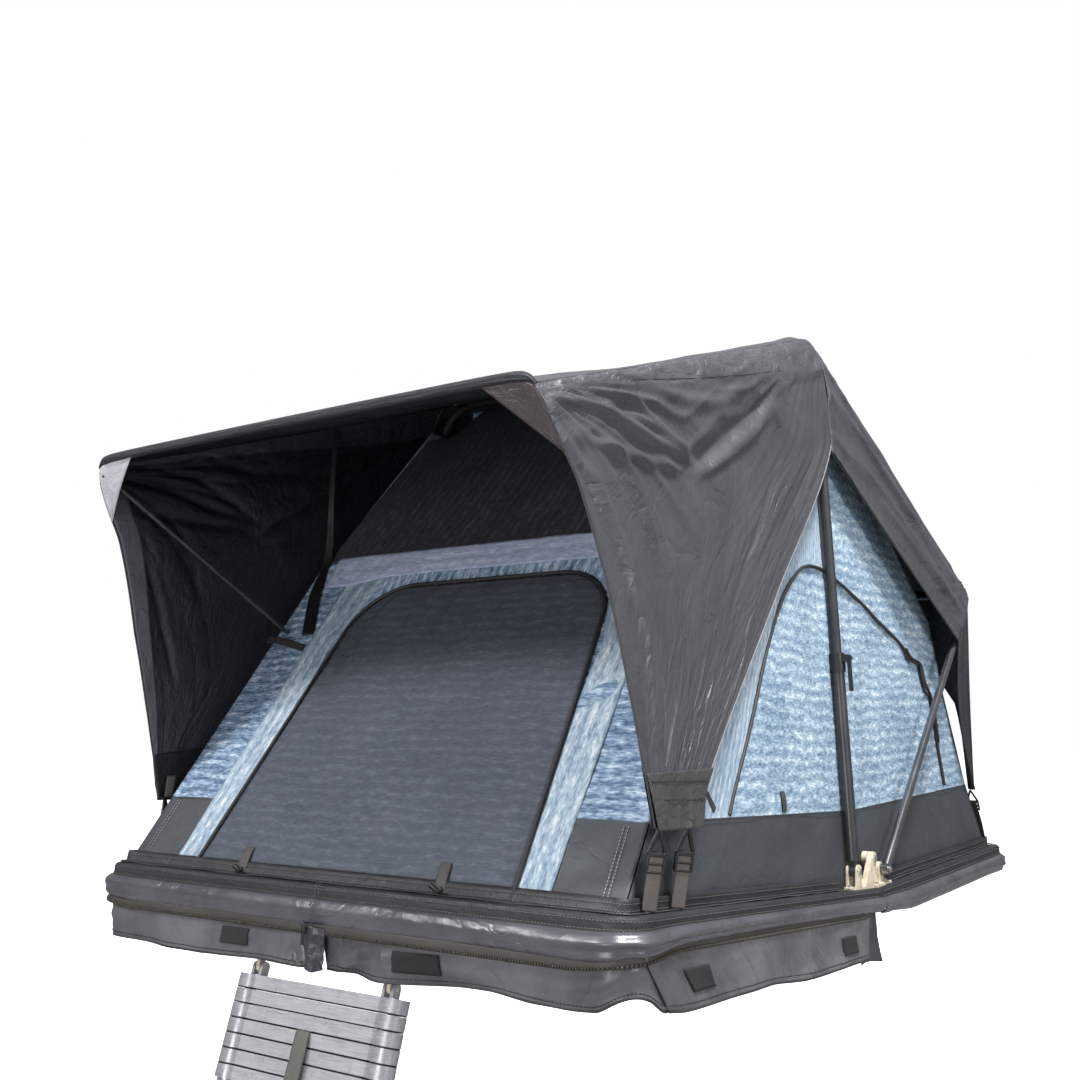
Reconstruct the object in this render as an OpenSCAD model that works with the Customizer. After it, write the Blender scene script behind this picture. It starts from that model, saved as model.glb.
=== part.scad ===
// Fold-out roof top tent: two hinged base halves, bows, fabric shell and a telescopic ladder.
// Millimetres, +Z up. The origin is the middle of the four mounting bolts under the rear half.

/* [Base] */
// clear width between the side walls at the deck
base_w = 1400; // [1200:10:1800]
// length of each base half
half_l = 1240; // [1100:10:1400]
// deck left outside the walls on each side
ledge = 35; // [30:1:60]
// sandwich panel thickness
panel_t = 24; // [16:1:40]
// height of the channel frame under each panel
frame_h = 40; // [25:1:60]
// width of a frame channel
frame_w = 30; // [25:1:50]
// hinge pin height above the deck
hinge_h = 80; // [70:1:120]
// how far the front half is raised from level
open_tilt = 4.5; // [0:0.5:10]
// spacing of the two mounting rails
rail_gap = 900; // [700:10:1100]
// mounting rail width
rail_w = 40; // [30:1:60]
// mounting rail height
rail_h = 36; // [25:1:50]
// spacing of the mounting bolts along a rail
bolt_pitch = 700; // [500:10:900]
// mounting bolt hole radius
bolt_r = 4.5; // [3.5:0.5:6]

/* [Poles] */
// ridge bar height above the deck
ridge_z = 1465; // [1200:5:1600]
// ridge bar position behind the hinge
ridge_y = -75; // [-150:5:50]
// ridge pole pivot ahead of the hinge
pole_y = -110; // [-125:1:-100]
// ridge pole pivot height
pole_h = 50; // [46:1:60]
// lower tube radius
lower_r = 16; // [14:0.5:20]
// upper tube radius
upper_r = 13; // [10:0.5:17]
// lower tube length from the pivot
lower_l = 520; // [420:10:600]
// length of upper tube held in the lower tube
grip_l = 190; // [120:5:300]
// inward lean of the ridge poles
leg_lean = 2.86; // [0:0.02:5]
// bend radius of the ridge bow
ridge_bend = 130; // [80:5:200]
// rear bow pivot behind the hinge
rear_y = 80; // [60:1:110]
// rear bow pivot height
rear_h = 45; // [42:1:60]
// rear bow slope
rear_deg = 40; // [25:1:60]
// rear bow length
rear_l = 1244; // [1000:2:1400]
// rear bow tube radius
rear_r = 11; // [9:0.5:14]
// front upright foot, from the hinge
upright_y = -900; // [-1000:10:-800]
// front upright length
upright_l = 573; // [450:1:700]
// front upright lean towards the hinge
upright_deg = 15; // [0:1:25]
// awning arm length
arm_l = 770; // [500:5:900]
// awning arm slope
arm_deg = 25.6; // [5:0.2:45]

/* [Fabric] */
// wall cloth thickness
cloth_t = 2; // [1:0.5:3]
// front wall height along its slope
front_s = 985; // [700:5:1100]
// front wall slope
front_deg = 57.3; // [45:0.1:75]
// front wall foot, from the hinge
front_y = 1212; // [1100:2:1300]
// rear wall foot, from the hinge
back_y = 1184; // [1100:2:1300]
// half width of the fly at the awning edge
awning_hw = 645; // [500:5:700]
// awning edge ahead of the hinge
awning_y = 1462; // [1300:2:1600]
// awning edge height
awning_z = 941; // [700:5:1100]
// half width of the fly at the ridge
ridge_hw = 600; // [500:5:640]
// mattress thickness
pad_t = 50; // [40:1:52]

/* [Ladder] */
// ladder lean from the deck's normal
ladder_deg = 13.5; // [5:0.5:25]
// height of the hook pins below the deck
ladder_z = -178; // [-220:2:-160]
// hook pin position, from the hinge
ladder_y = 1228; // [1180:2:1260]
// half the distance between the stiles
stile_x = 204; // [180:1:230]
// pitch of the closed rungs
rung_pitch = 30; // [28:1:60]
// length of each stile tube
stile_l = 330; // [300:5:420]
// radius of the thinnest stile tube
stile_r = 12; // [10:0.5:14]
// radius step from tube to tube
stile_step = 1.6; // [1.5:0.1:2]

/* [Hidden] */
$fn = 48;
deck_z = panel_t + frame_h + rail_h;
deck_x = base_w / 2 + ledge;
wall_x = base_w / 2;
corner_r = 60;
// slope of the side walls and of the ridge poles
lean_k = tan(leg_lean);

// turns a [y, z] point of the level rear half into the raised front half's own frame
function w2f(p) = [p[0] * cos(open_tilt) - (p[1] - hinge_h) * sin(open_tilt),
                   p[0] * sin(open_tilt) + (p[1] - hinge_h) * cos(open_tilt) + hinge_h];
function f2w(p) = [p[0] * cos(open_tilt) + (p[1] - hinge_h) * sin(open_tilt),
                   -p[0] * sin(open_tilt) + (p[1] - hinge_h) * cos(open_tilt) + hinge_h];

pole_w = f2w([pole_y, pole_h]);
pole_lean = atan2(ridge_y - pole_w[0], ridge_z - pole_w[1]);
bow_l = norm([ridge_y - pole_w[0], ridge_z - pole_w[1]]);
leg_x = wall_x + 18;
bend_deg = 90 - leg_lean;
bow_top = (bow_l + (ridge_bend - ridge_bend * cos(bend_deg)) * sin(leg_lean)) / cos(leg_lean)
          - ridge_bend * sin(bend_deg);
bow_end_x = leg_x + (-ridge_bend + ridge_bend * cos(bend_deg)) * cos(leg_lean)
            - (bow_top + ridge_bend * sin(bend_deg)) * sin(leg_lean);
// half width of the inner roof under the ridge bar, between the elbows
bow_in = bow_end_x + 10;
rear_x = wall_x + 33;
rear_bend = 90;
upright_x = wall_x - 50;
arm_x = wall_x - 68;
upright_top = [upright_y + upright_l * sin(upright_deg), 30 + upright_l * cos(upright_deg)];
ridge_f = w2f([ridge_y - 4, ridge_z + 16.5]);
ridge_in = w2f([ridge_y - 2, ridge_z - 25]);
front_top = [-front_y + front_s * cos(front_deg), 2 + front_s * sin(front_deg)];
eave = [rear_y + rear_l * cos(rear_deg) + 5, rear_h + rear_l * sin(rear_deg) + 18];
rungs = 9;

// the level rear half
module rear_half() {
  translate([0, -half_l / 2, deck_z]) children();
}

// the raised front half, turned about the hinge pins
module front_half() {
  rear_half() translate([0, 0, hinge_h]) rotate([-open_tilt, 0, 0])
    translate([0, 0, -hinge_h]) children();
}

module both() {
  children();
  mirror([1, 0, 0]) children();
}

// a round bar along X from x0 to x1
module bar_x(r, x0, x1) {
  translate([x0, 0, 0]) rotate([0, 90, 0]) cylinder(r = r, h = x1 - x0);
}

// a plate in the YZ plane from x0 to x1
module plate_x(x0, x1) {
  translate([x0, 0, 0]) rotate([90, 0, 90]) linear_extrude(x1 - x0) children();
}

// a bent bar in the XZ plane, starting upwards and turning towards -X
module bend_in(r, radius, deg) {
  translate([-radius, 0, 0]) rotate([90, 0, 0]) rotate_extrude(angle = deg)
    translate([radius, 0]) circle(r);
}

// Cloth: a closed solid between two grids of points.
module slab(low, high) {
  nr = len(low);
  nc = len(low[0]);
  m = nr * nc;
  du = low[1][0] - low[0][0];
  dv = low[0][1] - low[0][0];
  out = cross(du, dv) * (high[0][0] - low[0][0]) > 0;
  pts = concat([for (r = low) for (p = r) p], [for (r = high) for (p = r) p]);
  cells = [for (i = [0:nr - 2]) for (j = [0:nc - 2])
    let(a = i * nc + j, b = a + nc, c = b + 1, e = a + 1)
    each [[a, b, c], [a, c, e], [a + m, c + m, b + m], [a + m, e + m, c + m]]];
  near = [for (i = [0:nr - 2]) let(a = i * nc, b = a + nc)
    each [[b, a, a + m], [b, a + m, b + m]]];
  far = [for (i = [0:nr - 2]) let(e = i * nc + nc - 1, c = e + nc)
    each [[e, c, c + m], [e, c + m, e + m]]];
  first = [for (j = [0:nc - 2]) let(a = j, e = j + 1) each [[a, e, e + m], [a, e + m, a + m]]];
  last = [for (j = [0:nc - 2]) let(b = (nr - 1) * nc + j, c = b + 1)
    each [[c, b, b + m], [c, b + m, c + m]]];
  all = concat(cells, near, far, first, last);
  polyhedron(points = pts, faces = out ? all : [for (t = all) [t[2], t[1], t[0]]]);
}

module sheet(g, d) {
  slab(g, [for (r = g) [for (p = r) p + d]]);
}

function mix(a, b, t) = a + (b - a) * t;
// a point on a path of [t, point] pairs
function along(path, t, i = 0) =
  (i >= len(path) - 2 || t <= path[i + 1][0])
  ? mix(path[i][1], path[i + 1][1], (t - path[i][0]) / (path[i + 1][0] - path[i][0]))
  : along(path, t, i + 1);

// Base halves
module deck_2d() {
  translate([-deck_x, 3]) square([2 * deck_x, half_l - 3 - corner_r]);
  translate([-deck_x + corner_r, half_l - corner_r - 1])
    square([2 * (deck_x - corner_r), corner_r + 1]);
  both() translate([deck_x - corner_r, half_l - corner_r]) circle(corner_r);
}

// [x, y] places of the screws that hold a hub to its panel, clear of the hub's arms
rear_screws = [[wall_x + 26, 30], [wall_x + 18, 111]];
front_screws = [[wall_x + 18, -138], [wall_x + 10, -34]];

module screw_holes(r, spots) {
  both() for (p = spots) translate([p[0], p[1], -panel_t - 1]) cylinder(r = r, h = panel_t + 20);
}

module rear_panel() {
  color("gray") rear_half() difference() {
    translate([0, 0, -panel_t]) linear_extrude(panel_t) deck_2d();
    screw_holes(3.1, rear_screws);
  }
}

module front_panel() {
  color("gray") front_half() difference() {
    translate([0, 0, -panel_t]) linear_extrude(panel_t) mirror([0, 1]) deck_2d();
    screw_holes(3.1, front_screws);
  }
}

// a channel open towards the panel, corner at the origin, sides along X and Y
module channel(lx, ly) {
  difference() {
    cube([lx, ly, frame_h]);
    if (lx > ly) translate([-1, 3, 3]) cube([lx + 2, ly - 6, frame_h]);
    else translate([3, -1, 3]) cube([lx - 6, ly + 2, frame_h]);
  }
}

frame_ys = [20, half_l / 2 - frame_w / 2, half_l - 20 - frame_w];

module frame_bars() {
  side = deck_x - 30;
  translate([0, 0, -panel_t - frame_h]) {
    both() translate([side - frame_w, 20, 0]) channel(frame_w, half_l - 40);
    for (y = frame_ys)
      translate([-side + frame_w, y, 0]) channel(2 * (side - frame_w), frame_w);
  }
}

module rail_bolt_holes(r) {
  both() for (y = frame_ys)
    translate([rail_gap / 2, y + frame_w / 2, -panel_t - frame_h - 10]) cylinder(r = r, h = 20);
}

module rear_frame() {
  color("silver") rear_half() difference() {
    frame_bars();
    rail_bolt_holes(4.2);
  }
}

module front_frame() {
  color("silver") front_half() mirror([0, 1, 0]) frame_bars();
}

module mount_rails() {
  color("dimgray") rear_half() difference() {
    both() translate([rail_gap / 2 - rail_w / 2, 14, -deck_z]) difference() {
      cube([rail_w, half_l - 28, rail_h]);
      translate([3, -1, 3]) cube([rail_w - 6, half_l, rail_h - 6]);
    }
    rail_bolt_holes(4.2);
    both() for (s = [-1, 1])
      translate([rail_gap / 2, half_l / 2 + s * bolt_pitch / 2, -deck_z - 1])
        cylinder(r = bolt_r, h = 10);
  }
}

module rail_bolts() {
  z0 = -panel_t - frame_h;
  color("silver") rear_half() both() for (y = frame_ys)
    translate([rail_gap / 2, y + frame_w / 2, z0]) {
      translate([0, 0, -3 - 5.5]) cylinder(r = 7.5, h = 5.5, $fn = 6);
      translate([0, 0, -4]) cylinder(r = 4, h = 14);
      translate([0, 0, 3]) cylinder(r = 7.5, h = 6.5, $fn = 6);
    }
}

// Hinge castings
module lug_2d(y, z, r, half_foot) {
  translate([y - half_foot, 11]) square([2 * half_foot, z - 11]);
  translate([y, z]) circle(r);
}

module arm_2d(s) {
  polygon([[s * 20, 11], [s * 66, 11], [s * 13, hinge_h + 11], [s * -14, hinge_h - 9]]);
  translate([0, hinge_h]) circle(17);
}

module rear_hub() {
  difference() {
    union() {
      translate([wall_x + 3, 6, 0]) cube([30, 118, 12]);
      plate_x(wall_x + 3, wall_x + 17) arm_2d(1);
      plate_x(wall_x + 7, wall_x + 21.2) lug_2d(rear_y, rear_h, 18, 18);
    }
    translate([0, 0, hinge_h]) bar_x(6.02, wall_x, wall_x + 40);
    translate([0, rear_y, rear_h]) bar_x(5.02, wall_x, wall_x + 40);
    screw_holes(3.1, rear_screws);
  }
}

module front_hub() {
  difference() {
    union() {
      translate([wall_x + 3, -152, 0]) cube([30, 146, 12]);
      plate_x(wall_x + 19, wall_x + 33) arm_2d(-1);
      plate_x(wall_x + 3, wall_x + 8.5) lug_2d(pole_y, pole_h, 17, 17);
      plate_x(wall_x + 27.5, wall_x + 33) lug_2d(pole_y, pole_h, 17, 17);
    }
    translate([0, 0, hinge_h]) bar_x(6.04, wall_x, wall_x + 40);
    translate([0, pole_y, pole_h]) bar_x(5.02, wall_x, wall_x + 40);
    screw_holes(3.1, front_screws);
  }
}

module rear_hub_right() { color("beige") rear_half() rear_hub(); }
module rear_hub_left() { color("beige") rear_half() mirror([1, 0, 0]) rear_hub(); }
module front_hub_right() { color("beige") front_half() front_hub(); }
module front_hub_left() { color("beige") front_half() mirror([1, 0, 0]) front_hub(); }

module hub_bolts(spots) {
  both() for (p = spots) translate([p[0], p[1], 0]) {
    translate([0, 0, -panel_t + 4]) cylinder(r = 3, h = panel_t + 9);
    translate([0, 0, 12]) cylinder(r = 5, h = 5);
  }
}

module rear_hub_bolts() { color("silver") rear_half() hub_bolts(rear_screws); }
module front_hub_bolts() { color("silver") front_half() hub_bolts(front_screws); }

module hinge_pins() {
  color("silver") rear_half() both() translate([0, 0, hinge_h]) {
    bar_x(6, wall_x + 2, wall_x + 34);
    bar_x(9, wall_x + 33.3, wall_x + 37);
  }
}

module ridge_pole_pins() {
  color("silver") front_half() both() translate([0, pole_y, pole_h]) {
    bar_x(5, wall_x + 2, wall_x + 34);
    bar_x(8, wall_x + 33.2, wall_x + 37);
  }
}

module rear_bow_pins() {
  color("silver") rear_half() both() translate([0, rear_y, rear_h]) {
    bar_x(5, wall_x + 7, wall_x + 45);
    bar_x(8, wall_x + 43.4, wall_x + 48);
  }
}

// Mattress halves, crowned on top and drawn in at the foot
pad_n = 10;

function pad_grid(y0, y1, hw, z, crown) = [for (i = [0:pad_n]) [for (j = [0:pad_n])
  let(u = 2 * i / pad_n - 1, v = 2 * j / pad_n - 1)
  [hw * sin(90 * u), mix(y0, y1, (sin(90 * v) + 1) / 2), z + crown * (1 - pow(u, 6)) * (1 - pow(v, 6))]]];

module pad(y0, y1) {
  hw = wall_x - 90;
  slab(pad_grid(y0 + 6, y1 - 6, hw - 6, 2, 0), pad_grid(y0, y1, hw, pad_t - 12, 18));
}

module rear_mattress() { color("lightgray") rear_half() pad(16, back_y - 54); }
module front_mattress() { color("lightgray") front_half() pad(-front_y + 82, -16); }

// Padded edge strip round three sides of a half
module strip_2d() {
  polygon([[-18, 1], [3, 1], [3, -69], [10, -74], [18, -68], [20, -40], [18, -12], [11, 3], [0, 7], [-18, 5]]);
}

module strip_sides() {
  c = corner_r;
  difference() {
    union() {
      both() translate([deck_x, 14, 0]) rotate([90, 0, 0]) mirror([0, 0, 1])
        linear_extrude(half_l - c - 14) strip_2d();
      both() translate([deck_x - c, half_l - c, 0]) rotate_extrude(angle = 90)
        translate([c, 0]) strip_2d();
      translate([-deck_x + c, half_l, 0]) rotate([90, 0, 90]) linear_extrude(2 * (deck_x - c))
        strip_2d();
    }
    children();
  }
}

module rear_strip() {
  color("slategray") rear_half() strip_sides()
    both() translate([wall_x - 2, 0, 0]) cube([42, 130, 20]);
}

module front_strip() {
  color("slategray") front_half() mirror([0, 1, 0]) strip_sides()
    both() translate([wall_x - 2, 0, 0]) cube([42, 158, 20]);
}

// Ridge bow: telescopic poles, clamps and two half bows
module pole_frame() {
  rear_half() translate([0, pole_w[0], pole_w[1]]) rotate([-pole_lean, 0, 0]) children();
}

module leg_frame() {
  translate([leg_x, 0, 0]) rotate([0, -leg_lean, 0]) children();
}

module lower_tube() {
  difference() {
    union() {
      bar_x(14, wall_x + 9.2, wall_x + 26.8);
      leg_frame() translate([-8.5, -10, 0]) cube([17, 20, 30]);
      leg_frame() translate([0, 0, 26]) cylinder(r = lower_r, h = lower_l - 26);
    }
    bar_x(5.04, wall_x, wall_x + 40);
    leg_frame() translate([0, 0, 36]) cylinder(r = upper_r + 0.4, h = lower_l);
  }
}

lever_x = 30;
lever_z = lower_l + 14;

module clamp_collar() {
  leg_frame() difference() {
    union() {
      translate([0, 0, lower_l - 20]) cylinder(r = 20, h = 48);
      translate([14, -12, lever_z - 9]) cube([20, 24, 18]);
    }
    translate([0, 0, lower_l - 21]) cylinder(r = lower_r + 0.05, h = 21.1);
    translate([0, 0, lower_l - 1]) cylinder(r = upper_r + 0.35, h = 40);
    translate([20.4, -7.3, lower_l - 30]) cube([30, 14.6, 100]);
  }
  leg_frame() translate([lever_x, 0, lever_z]) rotate([90, 0, 0]) cylinder(r = 3, h = 20, center = true);
}

module clamp_lever() {
  leg_frame() translate([lever_x, 0, lever_z]) difference() {
    union() {
      rotate([90, 0, 0]) cylinder(r = 8.5, h = 13.6, center = true);
      translate([-2, -6.8, -82]) cube([7, 13.6, 80]);
      translate([1.5, 0, -82]) rotate([90, 0, 0]) cylinder(r = 3.5, h = 13.6, center = true);
    }
    rotate([90, 0, 0]) cylinder(r = 3.04, h = 30, center = true);
  }
}

// a straight pole and half the ridge bar, joined by a moulded elbow
module half_bow() {
  leg_frame() translate([0, 0, lower_l - grip_l]) cylinder(r = upper_r, h = bow_top - lower_l + grip_l + 2);
  leg_frame() translate([0, 0, bow_top]) bend_in(upper_r + 2, ridge_bend, bend_deg);
  translate([0, 0, bow_l]) bar_x(upper_r, 0.6, bow_end_x + 2);
}

module lower_tube_right() { color("black") pole_frame() lower_tube(); }
module lower_tube_left() { color("black") pole_frame() mirror([1, 0, 0]) lower_tube(); }
module clamp_collar_right() { color("black") pole_frame() clamp_collar(); }
module clamp_collar_left() { color("black") pole_frame() mirror([1, 0, 0]) clamp_collar(); }
module clamp_lever_right() { color("black") pole_frame() clamp_lever(); }
module clamp_lever_left() { color("black") pole_frame() mirror([1, 0, 0]) clamp_lever(); }
module upper_bow_right() { color("black") pole_frame() half_bow(); }
module upper_bow_left() { color("black") pole_frame() mirror([1, 0, 0]) half_bow(); }

module ridge_sleeve() {
  color("black") pole_frame() translate([-80, 0, bow_l]) rotate([0, 90, 0]) difference() {
    cylinder(r = upper_r + 1.8, h = 160);
    translate([0, 0, -1]) cylinder(r = upper_r + 0.02, h = 80);
    translate([0, 0, 78]) cylinder(r = upper_r + 0.3, h = 90);
  }
}

// Rear bow, outside the walls
module rear_bow() {
  color("silver") rear_half() translate([0, rear_y, rear_h]) difference() {
    rotate([rear_deg - 90, 0, 0]) both() {
      bar_x(14, rear_x - 10, rear_x + 10);
      translate([rear_x, 0, 10]) cylinder(r = rear_r, h = rear_l - rear_bend - 10);
      translate([rear_x, 0, rear_l - rear_bend]) bend_in(rear_r, rear_bend, 90);
      translate([0, 0, rear_l]) bar_x(rear_r, -0.5, rear_x - rear_bend);
    }
    both() bar_x(5.04, rear_x - 20, rear_x + 20);
  }
}

// Front uprights and awning arms
module upright_feet() {
  color("beige") front_half() both() {
    translate([upright_x - 19, upright_y - 26, 0]) cube([38, 52, 6]);
    translate([0, upright_y, 0]) {
      for (x = [-15, 9.3])
        plate_x(upright_x + x, upright_x + x + 5.7) {
          translate([-9, 5]) square([18, 25]);
          translate([0, 30]) circle(9);
        }
      translate([0, 0, 30]) bar_x(4, upright_x - 17, upright_x + 17);
    }
  }
}

module upright() {
  translate([0, upright_y, 30]) rotate([-upright_deg, 0, 0]) difference() {
    union() {
      bar_x(11, upright_x - 9, upright_x + 9);
      translate([upright_x, 0, 5]) cylinder(r = 8, h = upright_l - 5);
      translate([0, 0, upright_l]) {
        bar_x(11, upright_x - 9, upright_x + 9);
        bar_x(4, arm_x - 8, upright_x);
        bar_x(7, arm_x - 10, arm_x - 6.5);
      }
    }
    bar_x(4.04, upright_x - 20, upright_x + 20);
  }
}

module awning_arm() {
  translate([0, upright_top[0], upright_top[1]]) rotate([90 - arm_deg, 0, 0]) difference() {
    union() {
      bar_x(8.5, arm_x - 6, arm_x + 6);
      translate([arm_x, 0, 5]) cylinder(r = 5.5, h = arm_l - 5);
      translate([arm_x, 0, arm_l]) sphere(r = 10);
    }
    bar_x(4.04, arm_x - 20, arm_x + 20);
  }
}

module upright_right() { color("black") front_half() upright(); }
module upright_left() { color("black") front_half() mirror([1, 0, 0]) upright(); }
module awning_arm_right() { color("black") front_half() awning_arm(); }
module awning_arm_left() { color("black") front_half() mirror([1, 0, 0]) awning_arm(); }

// Ladder
module ladder_frame() {
  front_half() translate([0, -ladder_y, ladder_z]) rotate([-ladder_deg, 0, 0]) children();
}

function rung_z(k) = -31 - (k - 1) * rung_pitch - (k > 7 ? 18 : 0);
function tube_r(k) = stile_r + (k - 1) * stile_step;

module ladder_hooks() {
  under = -panel_t - frame_h;
  color("beige") front_half() both() {
    plate_x(stile_x - 22, stile_x - 12) {
      polygon([[-half_l + 20, under], [-half_l + 70, under], [-half_l + 62, under - 14],
               [-ladder_y + 6, ladder_z + 14], [-ladder_y + 6, ladder_z - 3],
               [-ladder_y - 10, ladder_z - 3], [-ladder_y - 10, ladder_z + 14]]);
      translate([-ladder_y, ladder_z]) circle(11);
    }
    translate([0, -ladder_y, ladder_z]) bar_x(5, stile_x - 33, stile_x - 2);
    translate([stile_x - 34, -half_l + 22, under - 5]) cube([34, 46, 5]);
  }
}

module ladder_section(k) {
  z = rung_z(k);
  r = tube_r(k);
  difference() {
    union() {
      both() translate([stile_x, 0, z + 13.2 - stile_l]) cylinder(r = r, h = stile_l);
      both() translate([stile_x, 0, z - 13.2]) cylinder(r = 28, h = 26.4);
      translate([-stile_x, -18, z - 13.2]) cube([2 * stile_x, 36, 26.4]);
      if (k == 1) both() for (x = [-32, -9.5])
        plate_x(stile_x + x, stile_x + x + 7.5) {
          translate([-11, z]) square([22, -z]);
          circle(11);
        }
      if (k == rungs) both() translate([stile_x, 0, z + 13.2 - stile_l]) {
        cylinder(r = r + 5, h = 40);
        translate([0, 0, -12]) cylinder(r = r + 8, h = 16);
      }
    }
    both() translate([stile_x, 0, z + 13.2 - stile_l - 1]) cylinder(r = r - 1.1, h = stile_l + 2);
    if (k == 1) bar_x(5.04, -stile_x - 20, stile_x + 20);
    both() translate([rung_pitch * 3, 0, z]) for (s = [-1, 1])
      translate([-40, s * 20 - 3, 3]) cube([70, 6, 6]);
  }
}

module ladder_1() { color("silver") ladder_frame() ladder_section(1); }
module ladder_2() { color("silver") ladder_frame() ladder_section(2); }
module ladder_3() { color("silver") ladder_frame() ladder_section(3); }
module ladder_4() { color("silver") ladder_frame() ladder_section(4); }
module ladder_5() { color("silver") ladder_frame() ladder_section(5); }
module ladder_6() { color("silver") ladder_frame() ladder_section(6); }
module ladder_7() { color("silver") ladder_frame() ladder_section(7); }
module ladder_8() { color("silver") ladder_frame() ladder_section(8); }
module ladder_9() { color("silver") ladder_frame() ladder_section(9); }

// a webbing loop over the fourth rung, hanging in front of the lower ones
module ladder_strap() {
  top = rung_z(4) + 14;
  fall = [[-20, top + 0.3], [-24, top - 6], [-27, top - 40], [-31, top - 110], [-35, top - 190],
          [-38, top - 260]];
  color("dimgray") ladder_frame() {
    translate([-15, -20, top]) cube([30, 41, 1.6]);
    sheet([for (p = fall) [for (x = [-15, 0, 15]) [x, p[0] - 1.6, p[1] + 1.2]]], [0, 1.6, 0]);
    translate([-15, 20, top - 120]) cube([30, 1.6, 121.6]);
  }
}

// Walls
module on_front_wall() {
  front_half() translate([0, -front_y, 2]) rotate([front_deg, 0, 0]) children();
}

// door outline with round top corners, grown by g
door_arc = 170;
door_s = 700;

module door_2d(g) {
  r = door_arc + g;
  cx = 402 - door_arc;
  right = [for (i = [0:12]) [cx + r * cos(7.5 * i), door_s + r * sin(7.5 * i)]];
  left = [for (i = [12:-1:0]) [-right[i][0], right[i][1]]];
  polygon(concat([[-455 - g, 24 - g], [455 + g, 24 - g]], right, left));
}

module front_wall() {
  zk = lean_k * sin(front_deg);
  color("steelblue") difference() {
    on_front_wall() translate([0, 0, -cloth_t]) linear_extrude(cloth_t) difference() {
      polygon([[-wall_x + 1, 0], [wall_x - 1, 0], [wall_x - 1 - zk * front_s, front_s],
               [-wall_x + 1 + zk * front_s, front_s]]);
      door_2d(1.5);
    }
    front_half() both() translate([arm_x, upright_top[0], upright_top[1]])
      rotate([90 - arm_deg, 0, 0]) cylinder(r = 13, h = 300);
  }
}

module door() {
  color("dimgray") on_front_wall() translate([0, 0, -cloth_t]) linear_extrude(cloth_t) door_2d(0);
}

module roof_front() {
  run = ridge_in - front_top - [0, 3];
  s = norm(run) - 6;
  w0 = wall_x - 1 - lean_k * front_top[1];
  w1 = wall_x - 1 - lean_k * ridge_in[1];
  color("black") front_half() translate([0, front_top[0], front_top[1] + 3])
    rotate([atan2(run[1], run[0]), 0, 0]) linear_extrude(cloth_t)
      polygon([[-w0, 0], [w0, 0], [w1, s - 95], [bow_in, s], [-bow_in, s], [-w1, s - 95]]);
}

module on_side() {
  translate([wall_x, 0, 0]) rotate([0, -leg_lean, 0]) plate_x(-cloth_t, 0) children();
}

module side_front() {
  r = w2f([ridge_y - 6, ridge_z - 33]);
  on_side() difference() {
    polygon([[-front_y + 5, 2], [-10, 2], r, [front_top[0] + 3, front_top[1] - 6]]);
    translate([-500, r[1] - 72]) square([600, 100]);
  }
}

// the rear wall's line from its foot over the knee to the ridge
rear_line = [[back_y, 2], [back_y - 160, 219], [back_y - 314, 540], [back_y - 384, 740],
             [ridge_y + 79, ridge_z - 88], [ridge_y + 5, ridge_z - 28]];

module side_rear() {
  on_side() difference() {
    polygon(concat([[4, 2]], [for (i = [0:3]) rear_line[i] - [9, 0]],
                   [[ridge_y + 6, ridge_z - 38], [ridge_y - 2, ridge_z - 38]]));
    translate([-300, ridge_z - 105]) square([600, 100]);
  }
}

module side_front_right() { color("steelblue") front_half() side_front(); }
module side_front_left() { color("steelblue") front_half() mirror([1, 0, 0]) side_front(); }
module side_rear_right() { color("steelblue") rear_half() side_rear(); }
module side_rear_left() { color("steelblue") rear_half() mirror([1, 0, 0]) side_rear(); }

module rear_wall() {
  last = len(rear_line) - 1;
  color("steelblue") rear_half()
    sheet([for (i = [0:last]) let(p = rear_line[i], w = i < last ? wall_x - 1 - lean_k * p[1] : bow_in)
      [for (t = [-1, 0, 1]) [w * t, p[0], p[1]]]], [0, -1.5, -1.5]);
}

// Fly sheet
module fly_roof(ridge, edge, hw, n, sag) {
  sheet([for (i = [0:n]) let(u = i / n, w = mix(ridge_hw, hw, u)) [for (j = [0:8])
    let(t = j / 4 - 1)
    [w * t, mix(ridge[0], edge[0], u), mix(ridge[1], edge[1], u) - sag * sin(180 * u) * (1 - 0.4 * t * t)]]],
    [0, 0, cloth_t]);
}

// side edge of the fly over the ridge pole
function shoulder(y0, y1) = [
  [ridge_hw + 1, y0, ridge_z + 15], [656, mix(y0, y1, 0.15), ridge_z - 36],
  [682, mix(y0, y1, 0.4), ridge_z - 150], [687, y1, ridge_z - 318]];

module ruled(pa, pb, ts, nu, d, belly) {
  sheet([for (t = ts) [for (j = [0:nu])
    mix(along(pa, t), along(pb, t), j / nu) + [belly * sin(180 * j / nu) * sin(180 * t), 0, 0]]], d);
}

module wing() {
  pole = w2f([ridge_y - 4, ridge_z - 318]);
  s = shoulder(ridge_f[0], pole[0]);
  dz = ridge_f[1] - ridge_z - 16.5;
  rear_edge = [[0, s[0] + [0, 0, dz]], [0.06, s[1] + [0, 0, dz]], [0.14, s[2] + [0, 0, dz]],
               [0.26, s[3] + [0, 0, dz]], [0.9, [738, -953, 259]], [1, [743, -1000, 166]]];
  front_edge = [[0, [awning_hw + 2, -awning_y + 3, awning_z - 4]], [0.25, [674, -1352, 760]],
                [0.5, [700, -1276, 560]], [0.75, [722, -1222, 360]], [0.9, [736, -1199, 246]],
                [1, [743, -1176, 160]]];
  ruled(front_edge, rear_edge, [0, 0.06, 0.14, 0.26, 0.42, 0.58, 0.74, 0.9, 1], 8,
        [cloth_t, 0, 0.5], -8);
}

module fly_front() {
  color("dimgray") front_half() {
    fly_roof(ridge_f, [-awning_y, awning_z], awning_hw, 6, 14);
    both() wing();
  }
}

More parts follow.
